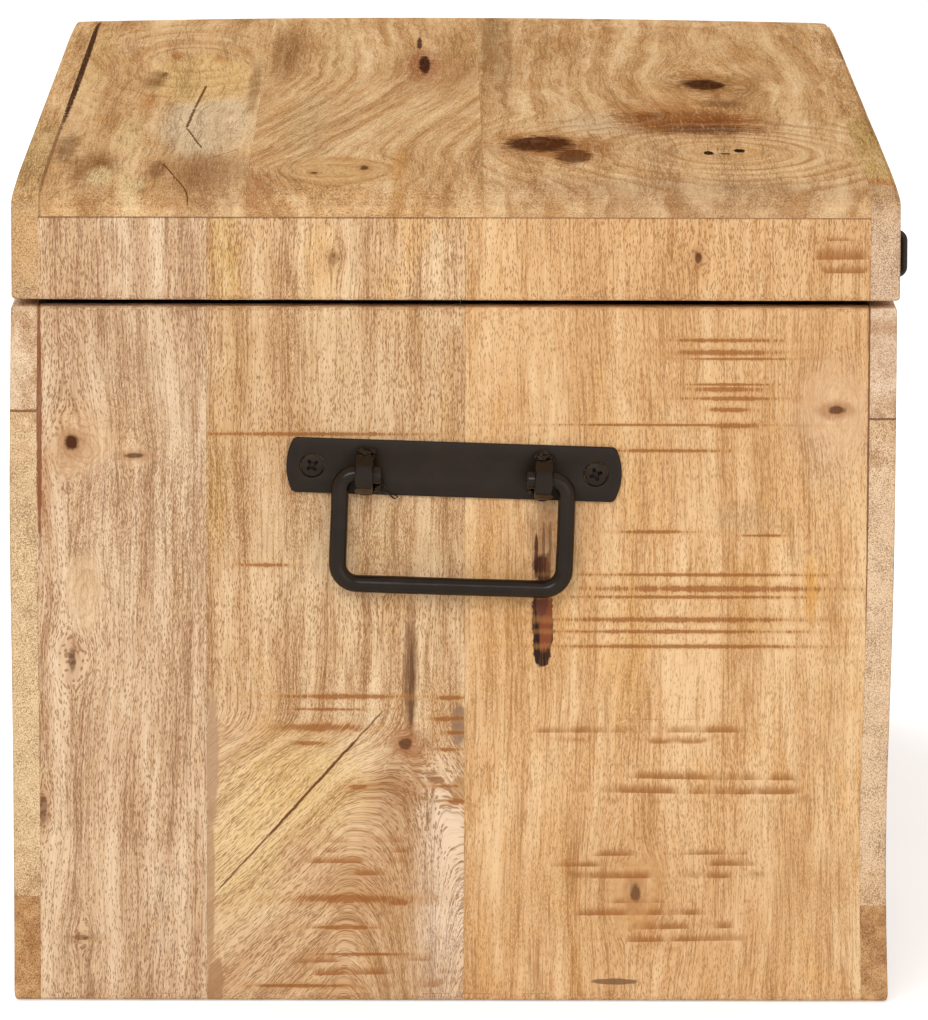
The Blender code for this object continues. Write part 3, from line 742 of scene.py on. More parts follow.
handle = {
    "height": 0.2451,
    "tilt": radians(1.75),
    "wall": 0.4003,
    "plateLength": 0.1518,
    "plateHeight": 0.0250,
    "plateThickness": 0.0020,
    "bulge": 0.0032,
    "rim": 0.00055,
    "screwHole": 0.0055,
    "screwSpacing": 0.1283,
    "pivotDrop": 0.0022,
    "pivotHeight": 0.0103,
    "nutFlats": 0.0160,
    "nutThickness": 0.0084,
    "nutOffset": 0.0406,
    "nutTurn": radians(4),
    "rodRadius": 0.0040,
    "halfWidth": 0.0513,
    "drop": 0.0499,
    "rodEnd": 0.0327,
    "topBend": 0.0068,
    "cornerBend": 0.0092,
}

handleScrews = {
    # place: side of the plate, turn of the cross
    "rear": (1, radians(38)),
    "front": (-1, radians(22)),
}

screwShape = {
    "radius": 0.0052,
    "dome": 0.0006,
    "recess": 0.0031,
    "wing": 0.00078,
    "depth": 0.0021,
    "sideSlope": 0.00022,
    "endSlope": 0.0020,
}


# x runs along the plate to the back, y up and z out of the wall
def handleSeat(end):
    sign, tilt = (-1, handle["tilt"]) if end == "left" else (1, 0.0)
    along, up = Vector((0, cos(tilt), sin(tilt))), Vector((0, -sin(tilt), cos(tilt)))
    seat = Matrix((along, up, Vector((sign, 0, 0)))).transposed().to_4x4()
    seat.translation = (sign * handle["wall"], 0, handle["height"])
    return seat


# a flat piece with rounded rims: the outline runs anticlockwise, the holes clockwise
def plateMesh(loops, thickness, rim):
    bm = bmesh.new()
    fill = []
    # how far in and how high each ring of the rim lies
    steps = [(0, 0), (0, thickness - rim), (0.13 * rim, thickness - 0.5 * rim)]
    steps += [(0.5 * rim, thickness - 0.13 * rim), (rim, thickness)]
    for loop in loops:
        rings = [[] for step in steps]
        for k, (x, y) in enumerate(loop):
            before, after = Vector(loop[k - 1]), Vector(loop[(k + 1) % len(loop)])
            ahead = (after - before).normalized()
            for ring, (inset, height) in zip(rings, steps):
                ring.append(bm.verts.new((x - ahead.y * inset, y + ahead.x * inset, height)))
        for first, second in zip(rings, rings[1:]):
            joinRings(bm, first, second)
        top = rings[-1]
        fill += [bm.edges.get((top[k - 1], top[k])) for k in range(len(top))]
    bmesh.ops.triangle_fill(bm, use_beauty=True, use_dissolve=False, edges=fill)
    return bm


def arcPoints(center, radius, start, end, steps):
    turns = [start + (end - start) * k / steps for k in range(steps + 1)]
    return [(center[0] + radius * cos(a), center[1] + radius * sin(a)) for a in turns]


def handlePlate():
    half, bulge = handle["plateHeight"] / 2, handle["bulge"]
    radius = (half**2 + bulge**2) / (2 * bulge)
    sweep = asin((half - 0.0009) / radius)
    right = [(handle["plateLength"] / 2 - bulge - 0.0010, -half)]
    right += arcPoints((handle["plateLength"] / 2 - radius, 0), radius, -sweep, sweep, 20)
    right.append((handle["plateLength"] / 2 - bulge - 0.0010, half))
    loops = [right + [(-x, -y) for x, y in right]]
    for sign in (-1, 1):
        middle = (sign * handle["screwSpacing"] / 2, 0)
        loops.append(list(reversed(arcPoints(middle, handle["screwHole"], 0, 2 * pi, 48)[:-1])))
    return plateMesh(loops, handle["plateThickness"], handle["rim"])


def handleNut(side):
    bm = bmesh.new()
    half, flats = handle["nutThickness"] / 2, handle["nutFlats"] / 2
    bore = handle["rodRadius"] + 0.00035

    def place(radius, turn, height):
        offCentre = (turn - handle["nutTurn"]) % (pi / 3) - pi / 6
        far = min(radius, flats / cos(offCentre), flats * 1.135)
        return Vector((side * handle["nutOffset"] + height, far * cos(turn), far * sin(turn)))

    stations = [(bore, -half + 0.0006), (bore + 0.0006, -half)]
    bevel = ((0.93, 0.0), (0.96, 0.0001), (1.02, 0.00035), (1.08, 0.00065), (1.2, 0.0010))
    stations += [(flats * share, -half + height) for share, height in bevel]
    stations += [(r, -z) for r, z in reversed(stations)]
    turned(bm, stations, 96, place, closed=True)
    bmesh.ops.translate(bm, verts=bm.verts, vec=(0, -handle["pivotDrop"], handle["pivotHeight"]))
    return bm


def bailPath():
    side, drop = handle["halfWidth"], handle["drop"]
    top, corner = handle["topBend"], handle["cornerBend"]
    half = [(handle["rodEnd"] + d, 0) for d in (0.0, 0.0002, 0.0006, 0.0012)]
    half += arcPoints((side - top, -top), top, pi / 2, 0, 12)
    start, end = -top, -drop + corner
    half += [(side, start + (end - start) * k / 8) for k in range(1, 8)]
    half += arcPoints((side - corner, -drop + corner), corner, 0, -pi / 2, 14)
    half += [((side - corner) * (1 - k / 8), -drop) for k in range(1, 8)]
    return half + [(0, -drop)] + [(-x, y) for x, y in reversed(half)]


def handleBail():
    bm = bmesh.new()
    path, radii = [], []
    for x, y in bailPath():
        bend = noise.noise(Vector((x * 30, y * 30, 2.0))) * 0.00025
        path.append(Vector((x + bend, y - handle["pivotDrop"] + bend, handle["pivotHeight"])))
        radii.append(handle["rodRadius"] * (1 + 0.03 * noise.noise(Vector((x * 60, y * 60, 9.0)))))
    for k, share in enumerate((0.72, 0.88, 0.97)):
        radii[k] = radii[-1 - k] = handle["rodRadius"] * share
    bar(bm, path, radii, 40)
    return bm


def screwMesh(shape, crossTurn, sides):
    bm = bmesh.new()
    radius = shape["radius"]

    def place(far, turn, height):
        u, v = far * cos(turn + crossTurn), far * sin(turn + crossTurn)
        for along, off in ((abs(u), abs(v)), (abs(v), abs(u))):
            wing = shape["wing"] * (1.3 - 0.6 * along / shape["recess"])
            side = min(1.0, max(0.0, (wing - off) / shape["sideSlope"])) ** 0.5
            end = min(1.0, max(0.0, (shape["recess"] - along) / shape["endSlope"])) ** 0.6
            if far < radius * 0.8:
                height = min(height, shape["dome"] - shape["depth"] * side * end)
        return Vector((far * cos(turn), far * sin(turn), height))

    steps = 34
    stations = [(radius * 0.86 * max(k, 0.02) / steps, 0) for k in range(steps + 1)]
    stations = [(r, shape["dome"] * (1 - (r / radius) ** 2)) for r, z in stations]
    stations += [(radius * 0.95, shape["dome"] * 0.07), (radius, -0.0003), (radius * 0.7, -0.0014)]
    stations += [(radius * 0.4, -0.0017), (radius * 0.38, -0.0060), (radius * 0.05, -0.0085)]
    turned(bm, stations, sides, place)
    return bm


# beads that hold the nuts, and drops beside the rod's ends: place along, up and out, then size; millimetres
weldBeads = {
    "rear": [
        ((37.2, 7.4, 4.2), (2.2, 1.6, 2.6)), ((39.8, 6.8, 5), (2.4, 1.8, 3.4)),
        ((42.4, 7.4, 4.4), (2.3, 1.8, 3)), ((40, 7, 9), (2, 1.2, 2.2)),
        ((36.8, 4.6, 4.6), (1.2, 2.2, 2.4)), ((34.6, -9, 4.4), (2.2, 2.4, 2.8)),
        ((33, -6.8, 3.6), (1.6, 1.6, 2)), ((35.6, -1.6, 10.4), (1.1, 2.8, 3)),
        ((40.6, -11.2, 4.6), (4, 1.4, 2.4)),
    ],
    "front": [
        ((-37.8, 7.2, 4.4), (2.4, 1.8, 2.8)), ((-40.4, 8.4, 5), (2.6, 2.2, 3.4)),
        ((-43.2, 6.8, 5), (2.2, 2, 3.4)), ((-39.8, 7.6, 8.8), (2.6, 1.4, 2.4)),
        ((-35.4, -2, 10), (1.2, 3.4, 3.2)), ((-34.6, -7.6, 6), (1.4, 2, 2.4)),
        ((-40.6, -11.2, 4.6), (4, 1.4, 2.4)),
    ],
}

# places along and up
spatterCurl = [
    (34.5, -5.2), (33.2, -6.2), (31.8, -7.6), (30.8, -9.2), (31.6, -10.8), (30.4, -11.2),
    (28.8, -12), (27.2, -13.4), (26.2, -13.9), (25, -13), (26.6, -12.2),
]


def weldMesh(end, side):
    bm = bmesh.new()
    for k, (place, size) in enumerate(weldBeads[side]):
        lump(bm, place, size, 3.7 * k + (11 if end == "right" else 0) + (5 if side == "front" else 0))
    if end == "left" and side == "rear":
        path = [Vector((x, y, 4.6 - 0.2 * k)) * mm for k, (x, y) in enumerate(spatterCurl)]
        bar(bm, path, [(0.30 + 0.12 * (k % 2)) * mm for k in range(len(path))], 8)
    return bm


def makeHandles():
    smooth = ironMaterial("bail paint", ironFinish["roughness"] - 0.13, 0.35)
    bright = ironMaterial("nut paint", ironFinish["roughness"] - 0.12, 0.45)
    flat = ironMaterial("plate paint", ironFinish["roughness"] + 0.10, 0.35)
    rough = ironMaterial("weld paint", ironFinish["roughness"] - 0.14, 0.60)
    fresh = ironMaterial("screw paint", ironFinish["roughness"] + 0.06, 0.35, 0.15)
    for end in ("left", "right"):
        seat = handleSeat(end)

        def add(name, bm, material, body, node=None, sharp=40):
            bm.transform(seat)
            return finishPiece(name, bm, material, body, node, sharp)

        add(f"{end}_plate_iron", handlePlate(), flat, "chest", f"{end}_handle_plate")
        add(f"{end}_bail_rod", handleBail(), smooth, f"{end}_bail", f"{end}_handle_bail", 60)
        for place, (side, turn) in handleScrews.items():
            add(f"{end}_nut_{place}_iron", handleNut(side), bright, "chest", f"{end}_handle_nut_{place}", 25)
            bm = screwMesh(screwShape, turn + (0.9 if end == "right" else 0), 120)
            bmesh.ops.translate(bm, verts=bm.verts, vec=(side * handle["screwSpacing"] / 2, 0, 0.0020))
            add(f"{end}_screw_{place}_iron", bm, fresh, "chest", f"{end}_handle_screw_{place}", 30)
            weld = add(f"{end}_weld_{place}", weldMesh(end, place), rough, "chest", None, 60)


print("camera and light")

photoCamera = {
    "place": (-4.659, 0.0103, 0.8707),
    "pitchDown": radians(8.602),
    "yaw": radians(-0.20),
    "roll": radians(0.156),
    "lens": 335.8,
    "sensor": 36.0,
}


def makeCamera():
    pitch, yaw, roll = photoCamera["pitchDown"], photoCamera["yaw"], photoCamera["roll"]
    ahead = Vector((cos(pitch) * cos(yaw), cos(pitch) * sin(yaw), -sin(pitch)))
    right = ahead.cross(Vector((0, 0, 1))).normalized()
    up = right.cross(ahead)
    turnedRight = right * cos(roll) + up * sin(roll)
    turnedUp = up * cos(roll) - right * sin(roll)
    data = bpy.data.cameras.new("camera")
    data.lens, data.sensor_width = photoCamera["lens"], photoCamera["sensor"]
    data.clip_end = 60
    camera = bpy.data.objects.new("camera", data)
    camera.matrix_world = Matrix((turnedRight, turnedUp, -ahead)).transposed().to_4x4()
    camera.location = photoCamera["place"]
    chest.objects.link(camera)
    bpy.context.scene.camera = camera


studio = {
    # name: place, aim, size, watts
    "key": ((-3.6, 0.7, 1.9), (0, 0, 0.05), 1.4, 44),
    "fill": ((-3.6, -1.8, 0.6), (0, 0, 0.05), 2.6, 29),
    "back": ((2.2, 1.4, 3.0), (0, 0, 0.2), 2.5, 60),
}


def makeLights():
    for name, (place, aim, size, watts) in studio.items():
        data = bpy.data.lights.new(name, "AREA")
        data.energy, data.size = watts, size
        lamp = bpy.data.objects.new(name, data)
        lamp.location = place
        lamp.rotation_mode = "QUATERNION"
        lamp.rotation_quaternion = (Vector(aim) - Vector(place)).to_track_quat("-Z", "Y")
        chest.objects.link(lamp)


def seenDirectly(start):
    rays = start.node("ShaderNodeLightPath")
    names = ("Is Camera Ray", "Is Glossy Ray", "Is Transmission Ray")
    outs = [Wire(rays.tree, rays.socket.node.outputs[name]) for name in names]
    return outs[0].most(outs[1]).most(outs[2])


def makeWorld():
    world = bpy.data.worlds.new("studio")
    bpy.context.scene.world = world
    world.use_nodes = True
    tree = world.node_tree
    start = Wire(tree, None)
    seen = seenDirectly(start)
    background = tree.nodes["Background"]
    background.inputs["Color"].default_value = (1, 1, 1, 1)
    strength = seen * 0.42 + 0.58
    tree.links.new(strength.socket, background.inputs["Strength"])


def makeFloor():
    bpy.ops.mesh.primitive_plane_add(size=40)
    floor = bpy.context.object
    floor.name = "floor"
    floor.location.z = -0.0006
    material, tree, shader, here = newMaterial("floor paint")
    seen = seenDirectly(here)
    shade = here.noise((3, 3, 3), 2.0).blend((0.86, 0.86, 0.86, 1), (0.88, 0.88, 0.88, 1))
    tree.links.new(shade.socket, shader.inputs["Base Color"])
    shader.inputs["Roughness"].default_value = 0.9
    shader.inputs["Specular IOR Level"].default_value = 0.1
    tree.links.new(seen.blend((0, 0, 0, 1), (0.48, 0.48, 0.48, 1)).socket, shader.inputs["Emission Color"])
    shader.inputs["Emission Strength"].default_value = 1.0
    floor.data.materials.append(material)


makeCamera()
makeLights()
makeWorld()
makeFloor()

bpy.context.scene.view_settings.view_transform = "Standard"


print("boards")

# each board's figure; a spot is across, along, half width and half length, in millimetres
# knots: spot, depth, reach of the swelling round it
# stains: spot, colour in hundredths, strength, softness
# sawMarks: spot, strength
# whorls: spot, rings, strength
# scratches, bulges: spot
# cracks: from across, along, to across, along, half width
# forks: across, along, slope on the rising side, slope on the other, depth of the change
# drifts: start and end along the board, climb across it
endLooks = {
    "rear": {
        "tone": "pink", "seed": 1.3, "heart": (148, 100, 0.1, 20),
        "rings": 150, "wander": 26, "warmth": 0.25,
        "whorls": [
            (169, 253.5, 15, 14, 4.6, 0.7), (145, 251, 8, 6, 2.5, 0.45), (167.2, 188, 8, 17, 3.2, 0.5),
        ],
        "knots": [
            (173, 256.5, 3.2, 3.4, 1, 26), (144.6, 251, 4.2, 1.1, 0.75, 12), (173, 157, 1.6, 5.8, 0.62, 20),
            (186.5, 88, 1.8, 6, 0.55, 14), (169.4, 29, 4.2, 1.1, 0.5, 10),
        ],
        "stains": [
            (150, 300, 60, 50, (58, 37, 20), 0.3, 0.8),
            (160, 262, 26, 16, (74, 46, 24), 0.55, 0.7),
            (166, 175, 12, 40, (84, 60, 36), 0.45, 0.7),
            (187.6, 268, 1.2, 60, (24, 7.5, 2.6), 0.9, 0.2),
            (185, 235, 2.6, 22, (52, 24, 10), 0.6, 0.6),
            (180, 40, 20, 60, (80, 55, 32), 0.35, 0.8),
        ],
    },
    "middle": {
        "tone": "straw", "seed": 4.1, "heart": (200, 200, 0.05, 50),
        "rings": 130, "wander": 20, "warmth": 0.42,
        "forks": [(20, 138, 1, 0.42, 30)],
        "knots": [(21.6, 119, 3, 2.6, 0.75, 12), (34, 193, 6, 2.2, 0.3, 12)],
        "stains": [
            (107.5, 236, 4.5, 34, (74, 45, 15), 0.6, 0.6),
            (100, 290, 6, 50, (60, 34, 13), 0.5, 0.7),
            (19.4, 152, 3, 27, (20, 9.5, 4), 0.9, 0.5),
            (19.2, 146, 1.3, 20, (12, 5, 2), 0.7, 0.25),
            (50, 275, 80, 80, (58, 33.5, 15), 0.45, 0.8),
            (22, 86, 15, 30, (48, 26, 12.5), 0.8, 0.6),
            (4, 46, 13, 58, (93, 72, 52), 0.9, 0.5),
            (80, 30, 22, 30, (84, 60, 36), 0.5, 0.7),
            (34, 48, 18, 16, (52, 27, 12), 0.7, 0.7),
            (20, 119, 8, 8, (42, 17, 6.5), 0.75, 0.7),
            (45, 60, 45, 22, (66, 38, 18), 0.4, 0.8),
            (70, 100, 26, 22, (86, 58, 24), 0.7, 0.7),
            (95, 70, 16, 30, (88, 62, 28), 0.6, 0.7),
            (54, 12, 56, 20, (60, 33, 15), 0.45, 0.8),
            (109.5, 112, 2.8, 32, (50, 30, 17), 0.85, 0.24),
            (110.5, 50, 2, 45, (48, 28, 15), 0.75, 0.26),
            (108, 8, 3.6, 11, (45, 25, 12), 0.9, 0.12),
            (-2.5, 128, 3.4, 10, (30, 17.5, 10.5), 0.85, 0.2),
            (-2.5, 98, 3.4, 6, (45, 24, 10), 0.7, 0.15),
        ],
        "scratches": [
            (50, 140.6, 26, 1.1), (56.8, 134.7, 15.8, 0.6), (60.4, 126.4, 17, 1.8), (65.8, 119.1, 6.3, 1),
            (1.4, 140.1, 6, 1), (1.8, 130.5, 7, 1.2), (-0.8, 124.1, 5, 0.9), (1.8, 116.3, 4.6, 0.8),
            (3.2, 99.4, 6.4, 0.9), (-0.8, 92.1, 4, 1.4), (43.2, 98.9, 5, 1.3), (46.8, 47.2, 24, 1.8),
            (24.3, 45.8, 5, 1.4), (50, 33.9, 15, 0.9), (64, 261, 45, 0.9), (70, 6.8, 20, 0.8),
            (42, 21.5, 18, 0.7), (86, 201, 10, 0.8),
        ],
        "sawMarks": [(42, 66, 24, 16, 0.55), (30, 14, 46, 12, 0.45)],
        "cracks": [(108, 50, 31, 135, 0.6), (84, 76, 44, 121, 0.9)],
    },
    "front": {
        "tone": "honey", "seed": 7.7, "heart": (-125, 50, 0.16, 35),
        "rings": 95, "wander": 24, "warmth": 0.5,
        "knots": [(-173, 272.5, 4, 1.8, 0.8, 18), (-83, 50.4, 2.4, 4.2, 0.72, 30)],
        "poreStrength": 0.5,
        "stains": [
            (-187.7, 160, 0.8, 300, (16, 6, 2.2), 0.85, 0.2),
            (-105, 300, 110, 60, (64, 35.5, 15.5), 0.34, 0.8),
            (-83, 52, 16, 30, (60, 32, 13), 0.6, 0.5),
            (-172, 268, 18, 26, (68, 40, 23), 0.75, 0.5),
            (-172.2, 272.2, 7, 4, (46, 16, 6.5), 0.9, 0.5),
            (-162, 190, 3, 16, (76, 38, 10), 0.9, 0.5),
            (-40.5, 216, 6.2, 18, (30, 13, 5), 0.7, 0.6),
            (-40.2, 174.5, 4.8, 20.5, (3, 0.8, 0.5), 0.96, 0.06),
            (-41.2, 177, 3.6, 16, (27, 7.5, 2.8), 0.92, 0.14),
            (-39.8, 184, 2.8, 9, (10, 3.5, 2.5), 0.65, 0.28),
            (-37.9, 166.5, 1.2, 10, (2.5, 1, 0.8), 0.9, 0.28),
            (-40.2, 198.5, 4, 8, (5, 1.2, 0.7), 0.92, 0.25),
            (-42.8, 201, 1, 4.5, (30, 10, 5), 0.6, 0.25),
            (-37.4, 204.5, 0.9, 11, (6, 1.6, 0.8), 0.9, 0.2),
            (-40.8, 210.5, 0.7, 9, (16, 5.5, 2.2), 0.7, 0.28),
            (-43.6, 212, 0.7, 8, (20, 7.5, 3), 0.6, 0.28),
            (-73.5, 9, 10.5, 1.3, (24, 12, 6), 0.9, 0.15),
            (-135, 223, 15, 7, (45, 30, 17), 0.35, 0.8),
            (-100, 60, 60, 30, (66, 36, 15), 0.3, 0.8),
            (-172, 262, 14, 26, (80, 55, 31), 0.5, 0.7),
        ],
        "whorls": [(-172.7, 274, 17, 20, 2.6, 0.35), (-83, 50.4, 12, 20, 3.4, 0.4)],
        "scratches": [
            (-122.1, 304.1, 22, 0.9), (-122.5, 298.6, 21.5, 1.3), (-129, 295.7, 22, 0.6),
            (-124, 284, 17.5, 0.6), (-123, 281.8, 15, 1.2), (-124.8, 277.6, 20.5, 0.9),
            (-124.5, 272.5, 8.5, 1), (-127, 265.2, 11, 1.2), (-95, 265.5, 45, 0.5), (-97, 253.7, 23, 0.8),
            (-91, 216.6, 15, 0.8), (-111, 196.9, 48, 0.8), (-115, 190.5, 52, 1.4), (-106, 186.7, 46, 0.8),
            (-102, 176.3, 52, 1.2), (-100, 170.8, 50, 0.8), (-104, 164, 54, 0.9), (-140, 215, 10, 0.6),
        ],
        "sawMarks": [
            (-92, 125, 58, 6, 0.6), (-105, 101, 62, 10, 0.6), (-96, 63, 56, 9, 0.55),
            (-92, 36, 48, 16, 0.6),
        ],
    },
}

seamLine = (100, 359.7, 300, 0.6, (20, 8, 3), 0.7, 0.28)

lidEndLooks = {
    "rear": {
        "tone": "pink", "seed": 1.3, "heart": (300, 100, 0.02, 20), "rings": 170,
        "wander": 12, "warmth": 0.2,
        "stains": [seamLine],
    },
    "middle": {
        "tone": "straw", "seed": 4.1, "heart": (280, 200, 0.02, 50), "rings": 150,
        "wander": 12, "warmth": 0.62,
        "knots": [(54.5, 341, 2.8, 3, 0.35, 8)],
        "stains": [
            seamLine,
            (104, 340, 6, 30, (70, 43, 14), 0.6, 0.6),
            (60, 340, 8, 18, (78, 45, 16), 0.5, 0.7),
        ],
    },
    "front": {
        "tone": "honey", "seed": 7.7, "heart": (-125, 240, 0.16, 35), "rings": 110,
        "wander": 18, "warmth": 0.45,
        "knots": [(-110, 341.4, 1.8, 2.6, 0.8, 10)],
        "stains": [
            (-105, 335, 110, 60, (64, 35.5, 15.5), 0.34, 0.8),
            (-100, 359.7, 300, 0.5, (20, 8, 3), 0.6, 0.28),
            (-176, 345, 12, 10, (56, 28, 12), 0.55, 0.7),
        ],
        "sawMarks": [(-176, 342, 12, 10, 0.8)],
    },
}

topGrain = {
    "warmth": 0.38,
    "paleness": 0.3,
    "fine": 0.28,
    "streaks": (1.8, 60.0),
    "bold": 0.8,
    "crackStrength": 0.9,
    "lineStrength": 0.36,
    "poreStrength": 0.5,
    "sheen": 0.0,
}

topLooks = {
    "rear": {
        "tone": "bronze", "seed": 2.2, "heart": (132, 140, 0.3, 366), "rings": 110,
        "wander": 30, "growth": (90, 0.45), "ringReach": 60, **topGrain,
        "ringZone": (140, 220, 40, 120),
        "stains": [
            (118, -150, 21, 140, (83, 62, 38), 0.95, 0.3),
            (124, 60, 26, 110, (84, 54, 22), 0.9, 0.3),
            (166, -320, 10, 55, (26, 11.5, 3.5), 0.9, 0.5),
            (181, -240, 5, 60, (20, 8.5, 2.6), 0.9, 0.5),
            (162, -348, 6, 28, (84, 60, 30), 0.9, 0.4),
            (146, -378, 6, 22, (84, 60, 30), 0.85, 0.4),
            (112, -340, 20, 60, (36, 18, 8), 0.7, 0.6),
            (136, -330, 4, 30, (24, 11, 4.5), 0.8, 0.4),
            (153, -190, 6, 60, (80, 56, 27), 0.7, 0.5),
            (148, 52, 5, 42, (28, 13.5, 4.5), 0.85, 0.5),
            (144, 82, 1.8, 12, (10, 5.5, 2.5), 0.8, 0.4),
            (149, -32, 4, 32, (60, 27, 8), 0.75, 0.5),
            (140, 172, 3, 20, (58, 25, 7), 0.8, 0.5),
            (118, 152, 4, 15, (60, 28, 8), 0.7, 0.5),
            (98, 30, 3, 110, (32, 17, 6.5), 0.75, 0.5),
            (180, 160, 5, 200, (70, 44, 17), 0.6, 0.6),
            (186.6, 120, 1.7, 270, (6, 2.3, 1), 0.95, 0.2),
            (187.2, -250, 1, 150, (22, 10, 4.5), 0.75, 0.28),
        ],
        "cracks": [
            (117.5, -252, 126.8, -165, 0.7), (126.8, -165, 125, -80, 1), (125, -80, 121.8, 25, 0.9),
            (120, -400, 128, -352, 0.5), (128, -352, 134, -312, 0.6), (115, -298, 100, -258, 0.5),
        ],
    },
    "middle": {
        "tone": "bronze", "seed": 5.5, "heart": (52, -342, 0.5, 368), "rings": 130,
        "wander": 22, "growth": (120, 0.46), "ringReach": 20, **topGrain,
        "drifts": [(-340, 100, 52)],
        "bulges": [(52, -340, 14, 26)],
        "whorls": [(52, -340, 20, 40, 5.5, 0.55)],
        "ringZone": (52, -342, 30, 36),
        "knots": [(64, -350, 1.6, 3.4, 0.8, 10), (41.2, -335, 1.8, 6, 0.8, 14)],
        "stains": [
            (52, -340, 24, 36, (60, 35, 13), 0.6, 0.5),
            (25, -332, 4, 70, (62, 30, 9), 0.8, 0.5),
            (92, -376, 9, 30, (46, 18, 6.5), 0.7, 0.6),
            (84, 180, 8, 120, (34, 16.5, 5.5), 0.8, 0.6),
            (58, 192, 7, 130, (78, 52, 24), 0.8, 0.6),
            (70, -150, 10, 120, (74, 52, 27), 0.5, 0.7),
            (12, 80, 22, 80, (46, 22, 8.5), 0.55, 0.7),
            (14, 116, 8, 70, (40, 13, 5), 0.75, 0.6),
            (14, 116, 2.8, 45, (5.5, 1.6, 1), 0.95, 0.22),
            (16.8, 224, 1.2, 32, (7, 2.2, 1.2), 0.9, 0.25),
        ],
    },
    "front": {
        "tone": "bronze", "seed": 9.4, "heart": (-124, -264, 0.6, 370), "rings": 150,
        "wander": 12, "growth": (100, 0.55), "ringReach": 75, **topGrain,
        "bulges": [(-126, 45, 24, 80), (-44, -252, 12, 50)],
        "ringZone": (-122, -262, 60, 110),
        "stains": [
            (-100, -385, 80, 25, (50, 30, 16), 0.6, 0.7),
            (-72, -148, 22, 50, (68, 47, 27), 0.8, 0.5),
            (-104, -92, 24, 50, (50, 20, 5), 0.8, 0.7),
            (-114, -142, 32, 50, (34, 10.5, 2.2), 1.1, 0.5),
            (-120, -166, 22, 20, (11, 3.2, 1.2), 0.95, 0.5),
            (-130, -52, 10, 18, (21, 9.5, 3), 0.8, 0.5),
            (-22, 200, 9, 230, (32, 17, 6.5), 0.7, 0.6),
            (-48, -255, 26, 50, (36, 13, 3), 0.95, 0.6),
            (-30, -208, 12, 22, (58, 26, 8), 0.8, 0.6),
            (-40, -240, 16, 34, (7, 2, 0.7), 0.92, 0.29),
            (-55, -290, 8.5, 28, (12, 3.8, 1.2), 0.85, 0.29),
            (-126, 30, 20, 46, (36, 16, 4.8), 0.9, 0.6),
            (-124, 34, 10.5, 24, (5.5, 1.6, 0.6), 0.92, 0.29),
            (-112, -120, 28, 26, (24, 6.2, 1), 1.1, 0.6),
            (-118, -268, 2.2, 8.5, (1.8, 0.8, 0.5), 0.97, 0.1),
            (-126, -270, 2.6, 3, (1.8, 0.8, 0.5), 0.95, 0.12),
            (-132.8, -256, 2.8, 7, (1.8, 0.8, 0.5), 0.97, 0.1),
            (-150, 180, 20, 140, (60, 33, 13), 0.4, 0.7),
        ],
    },
}

railLooks = {
    "lid_front_board": {
        "tone": "bronze", "seed": 3.1, "heart": (300, 0, 0.02, -220), "rings": 300,
        "warmth": 0.3, "sheen": 0.0,
        "stains": [
            (345, -401, 60, 3.5, (77, 54, 36), 1.3, 0.3),
            (368, -385, 12, 20, (68, 43, 24), 0.8, 0.6),
            (368, -320, 12, 36, (66, 43, 16), 0.9, 0.5),
            (368, -200, 12, 90, (58, 37, 12), 0.8, 0.6),
            (368, -355, 8, 10, (58, 22, 7), 0.8, 0.6),
        ],
    },
    "lid_back_board": {
        "tone": "bronze", "seed": 6.1, "heart": (310, 0, 0.02, 240), "rings": 300,
        "warmth": 0.3, "sheen": 0.0,
        "stains": [
            (345, -401, 60, 3.5, (71, 46, 25), 1.3, 0.3),
            (350, -398, 16, 12, (70, 40, 15), 0.5, 0.7),
            (368, -250, 12, 120, (64, 42, 18), 0.8, 0.6),
        ],
    },
    "front_board_upper": {
        "tone": "blush", "seed": 8.8, "heart": (350, 100, 0.02, -220), "rings": 120,
        "stains": [
            (310.5, -399, 3, 6, (50, 25, 12), 0.5, 0.6),
            (268.2, -400, 0.7, 30, (22, 9, 4), 0.9, 0.2),
        ],
    },
    "front_board_middle": {
        "tone": "straw", "seed": 9.9, "heart": (140, 50, 0.1, -180), "rings": 260,
        "wander": 50, "contrast": 0.5,
        "stains": [(155, -400, 110, 4, (86, 62, 40), 0.95, 0.4)],
        "knots": [(165, -120, 6, 12, 0.8, 30), (110, 240, 4, 9, 0.7, 25)],
        "sawMarks": [(200, 220, 30, 50, 0.7), (90, -250, 30, 40, 0.8)],
    },
    "front_board_lower": {
        "tone": "umber", "seed": 11.2, "heart": (60, 0, 0.03, -160), "rings": 120,
    },
    "back_board_upper": {
        "tone": "pink", "seed": 12.6, "heart": (330, 0, 0.02, 240), "rings": 200,
        "stains": [(271.2, -400, 0.7, 30, (26, 10, 4), 0.9, 0.2)],
    },
    "back_board_middle": {
        "tone": "straw", "seed": 13.7, "heart": (180, -100, 0.12, 220), "rings": 260,
        "wander": 50, "contrast": 0.5,
        "stains": [(155, -400, 110, 4, (84, 61, 35), 0.95, 0.4)],
        "knots": [(190, 160, 6, 12, 0.8, 30), (100, -200, 5, 10, 0.8, 25)],
        "sawMarks": [(150, -50, 40, 50, 0.7)],
    },
    "back_board_lower": {
        "tone": "umber", "seed": 14.4, "heart": (20, 0, 0.03, 220), "rings": 120,
    },
}


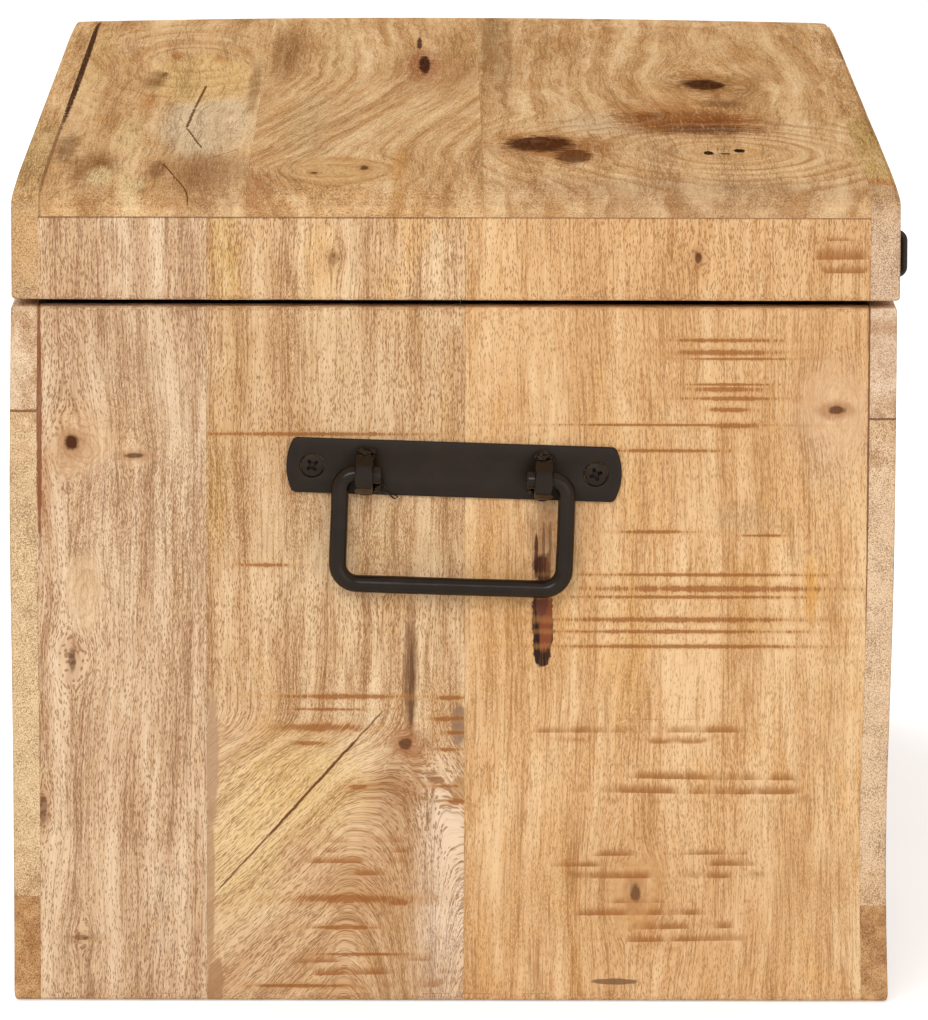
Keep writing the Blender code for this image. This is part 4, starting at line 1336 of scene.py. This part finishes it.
# the hidden end: the same woods with another figure, and without most of their marks
def farLook(look):
    left = ("stains", "knots", "cracks", "forks", "sawMarks")
    other = {key: value for key, value in look.items() if key not in left}
    return {**other, "seed": look["seed"] + 20.0, "wander": 35}


def farEndLook(look):
    knots = [(look["heart"][0] * 0.9, 180, 4, 6, 0.8, 30)]
    sawMarks = [(0, 100, 150, 20, 0.8), (-50, 240, 60, 12, 0.8)]
    return {**farLook(look), "knots": knots, "sawMarks": sawMarks}


def addBoard(node, bm, grain, look):
    body = "lid" if node.startswith("lid") else "chest"
    finishPiece(node + "_wood", bm, woodMaterial(node, grain, look), body, node)


def makeBoards():
    outer, foot = boardShape["outerRadius"], boardShape["footRadius"]
    seam, rim = boardShape["seamRadius"], boardShape["lidRimRadius"]
    for end, side in (("left", "-x"), ("right", "+x")):
        for place, look in endLooks.items():
            node = f"{end}_end_board_{place}"
            bm = boardMesh(node, {side: outer, "-z": foot, "+z": seam})
            addBoard(node, bm, "upright", look if end == "left" else farEndLook(look))
        for place, look in lidEndLooks.items():
            node = f"lid_{end}_end_{place}"
            bm = boardMesh(node, {side: outer, "-z": rim})
            addBoard(node, bm, "upright", look if end == "left" else farLook(look))
    for node, look in railLooks.items():
        front = "front" in node
        if node.startswith("lid"):
            addBoard(node, lidBoardMesh(node, -1 if front else 1), "edge", look)
            continue
        sides = {"-x": outer, "+x": outer, "-y" if front else "+y": outer}
        if "lower" in node:
            sides["-z"] = foot
        if "upper" in node:
            sides["+z"] = seam
        addBoard(node, boardMesh(node, sides), "edge", look)
    for place, look in topLooks.items():
        node = f"lid_top_board_{place}"
        addBoard(node, lidBoardMesh(node, 0), "flat", look)
    for place, seed in (("front", 30.0), ("rear", 36.0)):
        node = f"bottom_board_{place}"
        look = {"tone": "straw", "seed": seed, "heart": (300, 0, 0.05, 100)}
        bm = boardMesh(node, {"-z": boardShape["bottomRadius"]}, boardShape["bottomCell"])
        addBoard(node, bm, "flat", look)


makeBoards()

print("ironwork")
makeHandles()
fittings = ironMaterial("fittings paint", ironFinish["roughness"], 0.35)
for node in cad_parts.values():
    if not node.hide_render:  # no piece of the scene stands in for this one
        node.data.materials.clear()
        node.data.materials.append(fittings)

print("done")
